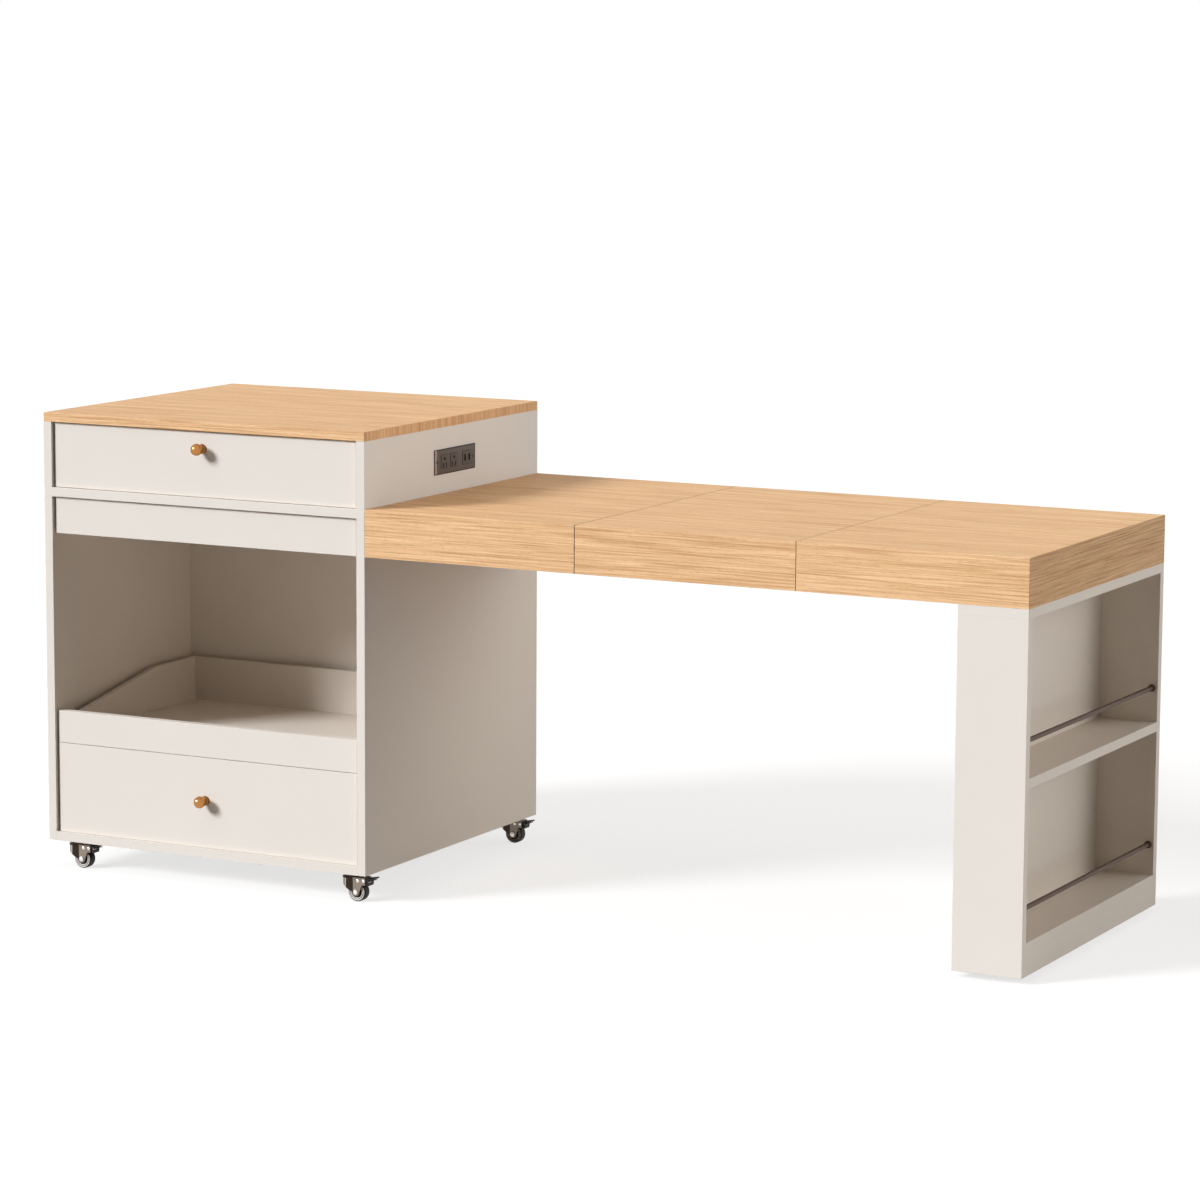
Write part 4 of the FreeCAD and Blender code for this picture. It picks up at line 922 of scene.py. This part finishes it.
# Recessed faces and the inserts' bevelled rims get near-black: painted shade.
for face in inserts.faces:
    back = insert_face - face.calc_center_median().x
    face.material_index = 1 if back > PLATE_ROUND or abs(face.normal.x) < 0.95 else 0
print("Outlet plate", round((high.y - low.y) / MM, 1), "mm wide, with", len(islands(inserts)), "inserts")
piece(inserts, "outlet_inserts", [socket_plastic, slot_shade_plastic])

# %% [markdown]
# ## Guard rails
#
# A thin bronze bar keeps things from sliding off each shelf. It ends in two flanged sockets. All of them
# are turned, and the sockets get a rounded rim, because a round rim always shows one bright line.

# %% Rails
RAIL_RADIUS = 4.6
SOCKET_RADIUS = 7
SOCKET_LENGTH = 5
SOCKET_ROUND = 0.9
low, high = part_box("guard_rails")
rail_x = (low.x + high.x) / 2
rail_length = (high.y - low.y) / MM
bar = [(0, 0), (RAIL_RADIUS, 0), (RAIL_RADIUS, rail_length), (0, rail_length)]
cup = [(RAIL_RADIUS, 0), (SOCKET_RADIUS, 0), (SOCKET_RADIUS, SOCKET_LENGTH), (RAIL_RADIUS, SOCKET_LENGTH)]
parts = []
for middle in (low.z + SOCKET_RADIUS * MM, high.z - SOCKET_RADIUS * MM):
    parts.append(in_place(facing(turned(bar, 32), "back"), (rail_x, low.y, middle)))
    for end, way in ((low.y, "back"), (high.y, "front")):
        socket = turned(cup, 40, SOCKET_ROUND, closed=True)
        parts.append(in_place(facing(socket, way), (rail_x, end, middle)))
piece(joined(parts), "guard_rails", [rail_bronze], 50)
print("Rails", round(rail_length, 1), "mm long")

# %% [markdown]
# ## Levelling feet
#
# Under the leg unit two threaded feet take up an uneven floor. A true helix would need thousands of faces,
# so the thread is drawn as plain rings, one every two millimetres: that is enough for a part that hardly
# shows.

# %% Feet
FOOT_RADIUS = 17
FOOT_PAD = 8
FOOT_BEVEL = 2
FOOT_SHOULDER = 2.5
STEM_RADIUS = 5
FLANGE_RADIUS = 20
FLANGE_THICK = 4
THREAD_PITCH = 2
THREAD_DEPTH = 0.6
low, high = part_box("leveling_feet")
stem_top = (high.z - low.z) / MM - FLANGE_THICK
outline = [(0, 0), (FOOT_RADIUS - FOOT_BEVEL, 0), (FOOT_RADIUS, FOOT_BEVEL),
           (FOOT_RADIUS, FOOT_PAD - FOOT_SHOULDER), (FOOT_RADIUS - FOOT_SHOULDER, FOOT_PAD),
           (STEM_RADIUS + 1, FOOT_PAD), (STEM_RADIUS, FOOT_PAD)]
rings = int((stem_top - FOOT_PAD) / THREAD_PITCH)
for ring in range(rings):
    start_height = FOOT_PAD + ring * THREAD_PITCH
    outline += [(STEM_RADIUS - THREAD_DEPTH, start_height + THREAD_PITCH / 2),
                (STEM_RADIUS, start_height + THREAD_PITCH)]
outline += [(STEM_RADIUS, stem_top), (FLANGE_RADIUS, stem_top), (FLANGE_RADIUS, stem_top + FLANGE_THICK),
            (0, stem_top + FLANGE_THICK)]
foot_x = (low.x + high.x) / 2
feet = [in_place(turned(outline, 40), (foot_x, y, low.z))
        for y in (low.y + FLANGE_RADIUS * MM, high.y - FLANGE_RADIUS * MM)]
piece(joined(feet), "leveling_feet", [foot_plastic], 35)
print("Feet with", rings, "turns of thread")

# %% [markdown]
# ## Caster plates
#
# Four swivel casters carry the cabinet. Each hangs from a square plate with rounded corners, screwed to
# the cabinet's bottom, and turns on a ball race: two pressed rings with a groove between them where
# the balls run. Linked copies of one caster would be lighter, but each corner's parts swivel, roll and
# brake by themselves, so each is a mesh of its own. Heights are in millimetres above the floor, so the same
# numbers serve all four corners.

# %% Plates and races
CORNERS = ("front_left", "front_right", "rear_left", "rear_right")
TRAIL = 16.5
PLATE_TOP = 56
PLATE_BOTTOM = 54
PLATE_HALF = 19
PLATE_CORNER = 5
PLATE_EDGE = 0.4
SCREW_SPREAD = 13
CASTER_SCREW = (3.2, 1.8)
RACE = [(0, 54), (12, 54), (12, 52.6), (11.2, 51.9), (10.6, 51.3), (10.6, 50.9), (11.2, 50.3), (12, 49.7),
        (12, 48.7), (11.4, 48.3), (0, 48.3)]
PIN = [(0, 42.5), (4.6, 42.5), (6.4, 43.3), (7, 44.5), (7, 45.7), (4, 45.7), (4, 48.3), (0, 48.3)]


def swivel_spot(corner):
    """Where a caster's upright axis meets the floor, in metres."""
    low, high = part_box("caster_wheel_" + corner)
    return Vector(((low.x + high.x) / 2 - TRAIL * MM, (low.y + high.y) / 2, 0))


def caster_plate():
    """A plate with rounded corners and its ball race."""
    plate = bmesh.new()
    bmesh.ops.create_cube(plate, size=1)
    bmesh.ops.scale(plate, verts=plate.verts,
                    vec=(2 * PLATE_HALF, 2 * PLATE_HALF, PLATE_TOP - PLATE_BOTTOM))
    bmesh.ops.translate(plate, verts=plate.verts, vec=(0, 0, (PLATE_TOP + PLATE_BOTTOM) / 2))
    upright = [edge for edge in plate.edges if abs(edge.verts[0].co.z - edge.verts[1].co.z) > 1]
    bmesh.ops.bevel(plate, geom=upright, offset=PLATE_CORNER, offset_type="OFFSET", segments=5,
                    profile=0.5, affect="EDGES", clamp_overlap=True, material=-1)
    eased(plate, PLATE_EDGE, 2, 60)
    return joined([painted(plate, 0), painted(turned(RACE, 40), 1), painted(turned(PIN, 32), 1)])


piece(joined([in_place(caster_plate(), swivel_spot(corner)) for corner in CORNERS]), "caster_plates",
      [caster_black, caster_metal], 35)

screws = []
for corner in CORNERS:
    for across in (-SCREW_SPREAD, SCREW_SPREAD):
        for along in (-SCREW_SPREAD, SCREW_SPREAD):
            head = facing(pan_head(*CASTER_SCREW), "down", (across, along, PLATE_BOTTOM))
            screws.append(in_place(head, swivel_spot(corner)))
piece(joined(screws), "caster_screws", [zinc], 35)
print(len(screws), "caster screws")

# %% [markdown]
# ## Caster forks
#
# The fork is pressed from one sheet. Its skirt and cheeks are the model's, with the sheet's edges broken,
# while the rivets and the axle's nut are new: a domed rivet and a chamfered nut each catch one small,
# bright spot of light, and those spots are what the eye finds first on a caster. The front of the skirt
# is painted dark, a painted dark reflection, and a narrow band where it bulges most at its front left
# gets a paler finish, a painted highlight.

# %% Forks
WHEEL_RADIUS = 19
CHEEK_OUTSIDE = 12.5
RIVETS = ((20.5, 41.5), (33, 42))
RIVET_DOME = [(0, 1), (1.3, 0.92), (2.3, 0.66), (3, 0.25), (3.2, 0), (0, 0)]
CAD_NUT_RADIUS = 5.5
NUT_RADIUS = 5.2
NUT_HEIGHT = 3.5
NUT_MARGIN = 0.2
SHEET_ROUND = 0.35 * MM
WASHER = [(0, 0), (6.2, 0), (6.2, 0.5), (5.9, 0.7), (0, 0.7)]
AXLE_END = [(0, 3.5), (1.4, 3.35), (2.4, 2.9), (2.7, 2.4), (0, 2.4)]
AXLE_RADIUS = 3
CREASE = 10.2
# Where the painted highlight lies on the skirt: its normal angles and its top.
HIGHLIGHT_ANGLES = (241, 255)
HIGHLIGHT_TOP = 44


def bare_yoke(corner):
    """The model's yoke alone, without the nuts and rivet heads that stand out past its cheeks."""
    shape = largest("caster_fork_" + corner)
    spot = swivel_spot(corner)
    heads = []
    for vert in shape.verts:
        along, across, up = (vert.co - spot) / MM
        near = min(math.hypot(along - x, up - z) for x, z in RIVETS + ((TRAIL, WHEEL_RADIUS),))
        if near < CAD_NUT_RADIUS + NUT_MARGIN and abs(across) > CHEEK_OUTSIDE + NUT_MARGIN / 2:
            heads.append(vert)
    bmesh.ops.delete(shape, geom=heads, context="VERTS")
    eased(shape, SHEET_ROUND, 2)
    for face in shape.faces:
        along, across, up = (face.calc_center_median() - spot) / MM
        # The skirt's front is painted dark: a painted dark reflection.
        face.material_index = 2 if along < CREASE else 0
        around = math.degrees(math.atan2(face.normal.y, face.normal.x)) % 360
        # A narrow band at the front left is painted paler: a painted highlight.
        if along < 0 and up < HIGHLIGHT_TOP and HIGHLIGHT_ANGLES[0] < around < HIGHLIGHT_ANGLES[1]:
            face.material_index = 3
    return shape


def hexagon_nut():
    """A six-sided nut with chamfered corners on its washer, and the domed end of the axle."""
    nut = bmesh.new()
    bmesh.ops.create_cone(nut, cap_ends=True, segments=6, radius1=NUT_RADIUS, radius2=NUT_RADIUS,
                          depth=NUT_HEIGHT - 1)
    bmesh.ops.translate(nut, verts=nut.verts, vec=(0, 0, (NUT_HEIGHT - 1) / 2))
    eased(nut, 0.5, 2, 25)
    return joined([painted(nut, 1), turned(WASHER, 32), painted(turned(AXLE_END, 24), 1)])


def both_sides(make, x, z):
    """The same fitting on both cheeks."""
    return [facing(make(), "front", (x, -CHEEK_OUTSIDE, z)), facing(make(), "back", (x, CHEEK_OUTSIDE, z))]


for corner in CORNERS:
    yoke = bare_yoke(corner)
    fittings = both_sides(hexagon_nut, TRAIL, WHEEL_RADIUS)
    for x, z in RIVETS:
        fittings += both_sides(lambda: painted(turned(RIVET_DOME, 24), 1), x, z)
    axle = turned([(0, 0), (AXLE_RADIUS, 0), (AXLE_RADIUS, 2 * CHEEK_OUTSIDE), (0, 2 * CHEEK_OUTSIDE)], 24)
    fittings.append(facing(painted(axle, 1), "back", (TRAIL, -CHEEK_OUTSIDE, WHEEL_RADIUS)))
    fork = joined([yoke, in_place(joined(fittings), swivel_spot(corner))])
    print("Fork", corner, "with", len(fork.faces), "faces")
    piece(fork, "caster_fork_" + corner, [caster_metal, bright_steel, skirt_dark_reflection, skirt_highlight], 35)

# %% [markdown]
# ## Caster wheels
#
# A black tread on a pale core. The core's face is stepped: a bright rim, a groove, a second bright ring
# and a deep well round the hub. The rings are what tells the eye that the wheel is round, so they
# are cut into the outline, and each face then gets its finish by its distance from the axle. The groove
# and the well are painted darker, as painted shade in those recesses.

# %% Wheels
TREAD_START = 16.9
HUB_FACE = 5.8
GROOVE = (13.6, 15)
WELL = (6.4, 11.4)
FACE_OUTLINE = [(3.08, 9), (5.6, 9), (6, 8.8), (6.4, 8.2), (6.7, 5.6), (7.6, 5.2), (10.6, 5.2), (11.2, 5.8),
                (11.4, 8.2), (11.8, 8.8), (12.4, 9), (13.1, 8.9), (13.6, 8.2), (14.3, 7.8), (15, 8.2),
                (15.4, 8.8), (16, 9), (16.6, 8.9), (16.9, 8.4), (17.2, 8.7), (17.8, 8.6), (18.5, 8),
                (18.9, 7.2), (19, 6.2)]


def caster_wheel():
    """A wheel lying flat, its axle on Z."""
    other = [(radius, -height) for radius, height in reversed(FACE_OUTLINE)]
    wheel = turned(FACE_OUTLINE + other, 64, closed=True)
    # The well and the groove get the darker finishes: painted shade.
    for face in wheel.faces:
        middle = face.calc_center_median()
        out = math.hypot(middle.x, middle.y)
        if out > TREAD_START or out < HUB_FACE:
            face.material_index = 0
        elif WELL[0] < out < WELL[1]:
            face.material_index = 2
        elif GROOVE[0] < out < GROOVE[1]:
            face.material_index = 3
        else:
            face.material_index = 1
    return wheel


for corner in CORNERS:
    spot = swivel_spot(corner) + Vector((TRAIL * MM, 0, WHEEL_RADIUS * MM))
    piece(in_place(facing(caster_wheel(), "back"), spot), "caster_wheel_" + corner,
          [tread_rubber, wheel_pale, wheel_well, wheel_groove], 50)
print("Wheels of", 2 * WHEEL_RADIUS, "mm")

# %% [markdown]
# ## Brake pedals
#
# The pedal keeps the model's outline, because it has to swing between the cheeks. Four low ribs across
# the blade stop a shoe from slipping: a cube stretched into a bar, bevelled, and tilted with the blade.
# Under the blade, each side of the block has a thin lip, half a ring of bare metal that `spin` draws from
# a small circle.

# %% Pedals
BLADE_FOOT = Vector((37.8, 0, 46.1))
BLADE_TIP = Vector((54.5, 0, 49))
RIB_SIZE = (1.2, 22, 0.8)
RIB_ROUND = 0.3
RIBS = 4
FIRST_RIB_SHARE = 0.35
LAST_RIB_SHARE = 0.9
PEDAL_HALF = 11.3


def pedal_rib(share):
    """One rib, a share of the way along the blade's sloping top."""
    rib = bmesh.new()
    bmesh.ops.create_cube(rib, size=1)
    bmesh.ops.scale(rib, verts=rib.verts, vec=RIB_SIZE)
    eased(rib, RIB_ROUND, 2)
    rise = BLADE_TIP - BLADE_FOOT
    slope = Matrix.Rotation(-math.atan2(rise.z, rise.x), 3, "Y")
    bmesh.ops.rotate(rib, verts=rib.verts, cent=(0, 0, 0), matrix=slope)
    bmesh.ops.translate(rib, verts=rib.verts, vec=BLADE_FOOT.lerp(BLADE_TIP, share))
    return rib


LIP_RADIUS = 5
LIP_THICK = 0.7
LIP_SPOT = (46, 46.5)
LIP_START = math.radians(-20)
LIP_SWEEP = math.radians(-140)


def pedal_lip(across):
    """Half a ring under the blade, on the side of the pedal's block."""
    lip = bmesh.new()
    upright = Matrix.Translation((LIP_RADIUS, 0, 0)) @ Matrix.Rotation(math.radians(90), 4, "X")
    bmesh.ops.create_circle(lip, cap_ends=True, segments=10, radius=LIP_THICK, matrix=upright)
    bmesh.ops.spin(lip, geom=lip.faces[:], cent=(0, 0, 0), axis=(0, 0, 1), angle=LIP_SWEEP, steps=14,
                   use_merge=False)
    bmesh.ops.rotate(lip, verts=lip.verts, cent=(0, 0, 0), matrix=Matrix.Rotation(LIP_START, 3, "Z"))
    bmesh.ops.recalc_face_normals(lip, faces=lip.faces)
    return painted(facing(lip, "front", (LIP_SPOT[0], across, LIP_SPOT[1])), 1)


rib_step = (LAST_RIB_SHARE - FIRST_RIB_SHARE) / (RIBS - 1)
for corner in CORNERS:
    blade = eased(merged("brake_pedal_" + corner), SHEET_ROUND, 2)
    details = [pedal_rib(FIRST_RIB_SHARE + rib_step * rib) for rib in range(RIBS)]
    details += [pedal_lip(-PEDAL_HALF), pedal_lip(PEDAL_HALF)]
    piece(joined([blade, in_place(joined(details), swivel_spot(corner))]), "brake_pedal_" + corner,
          [caster_black, caster_metal], 35)
print(len(dressed), "pieces so far")

# %% [markdown]
# ## The rest of the frame
#
# Steel channels, wooden bars and the outlet's box have the right shape already, so they keep their CAD
# mesh and only get a finish.

# %% Kept nodes
KEPT = {
    "bottom_panel": cream, "outlet_box": box_plastic, "drawer_runner_rails": zinc,
    "upper_drawer_slides": zinc, "tray_slides": zinc, "lower_drawer_slides": zinc,
    "table_fixed_runners": bar_wood, "table_moving_runners": channel_steel,
}
for node, finish in KEPT.items():
    slots = frame["nodes"][node].data.materials
    slots.clear()
    slots.append(finish)
unseen = sorted(set(frame["nodes"]) - set(dressed) - set(KEPT))
print("Nodes without a finish:", unseen)

# %% [markdown]
# ## The size
#
# The dressed pieces should not grow past the CAD model, so the box round everything that renders is
# printed.

# %% Sizes
low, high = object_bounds()
print("Visual box in mm:", [round(side / MM, 1) for side in high - low])
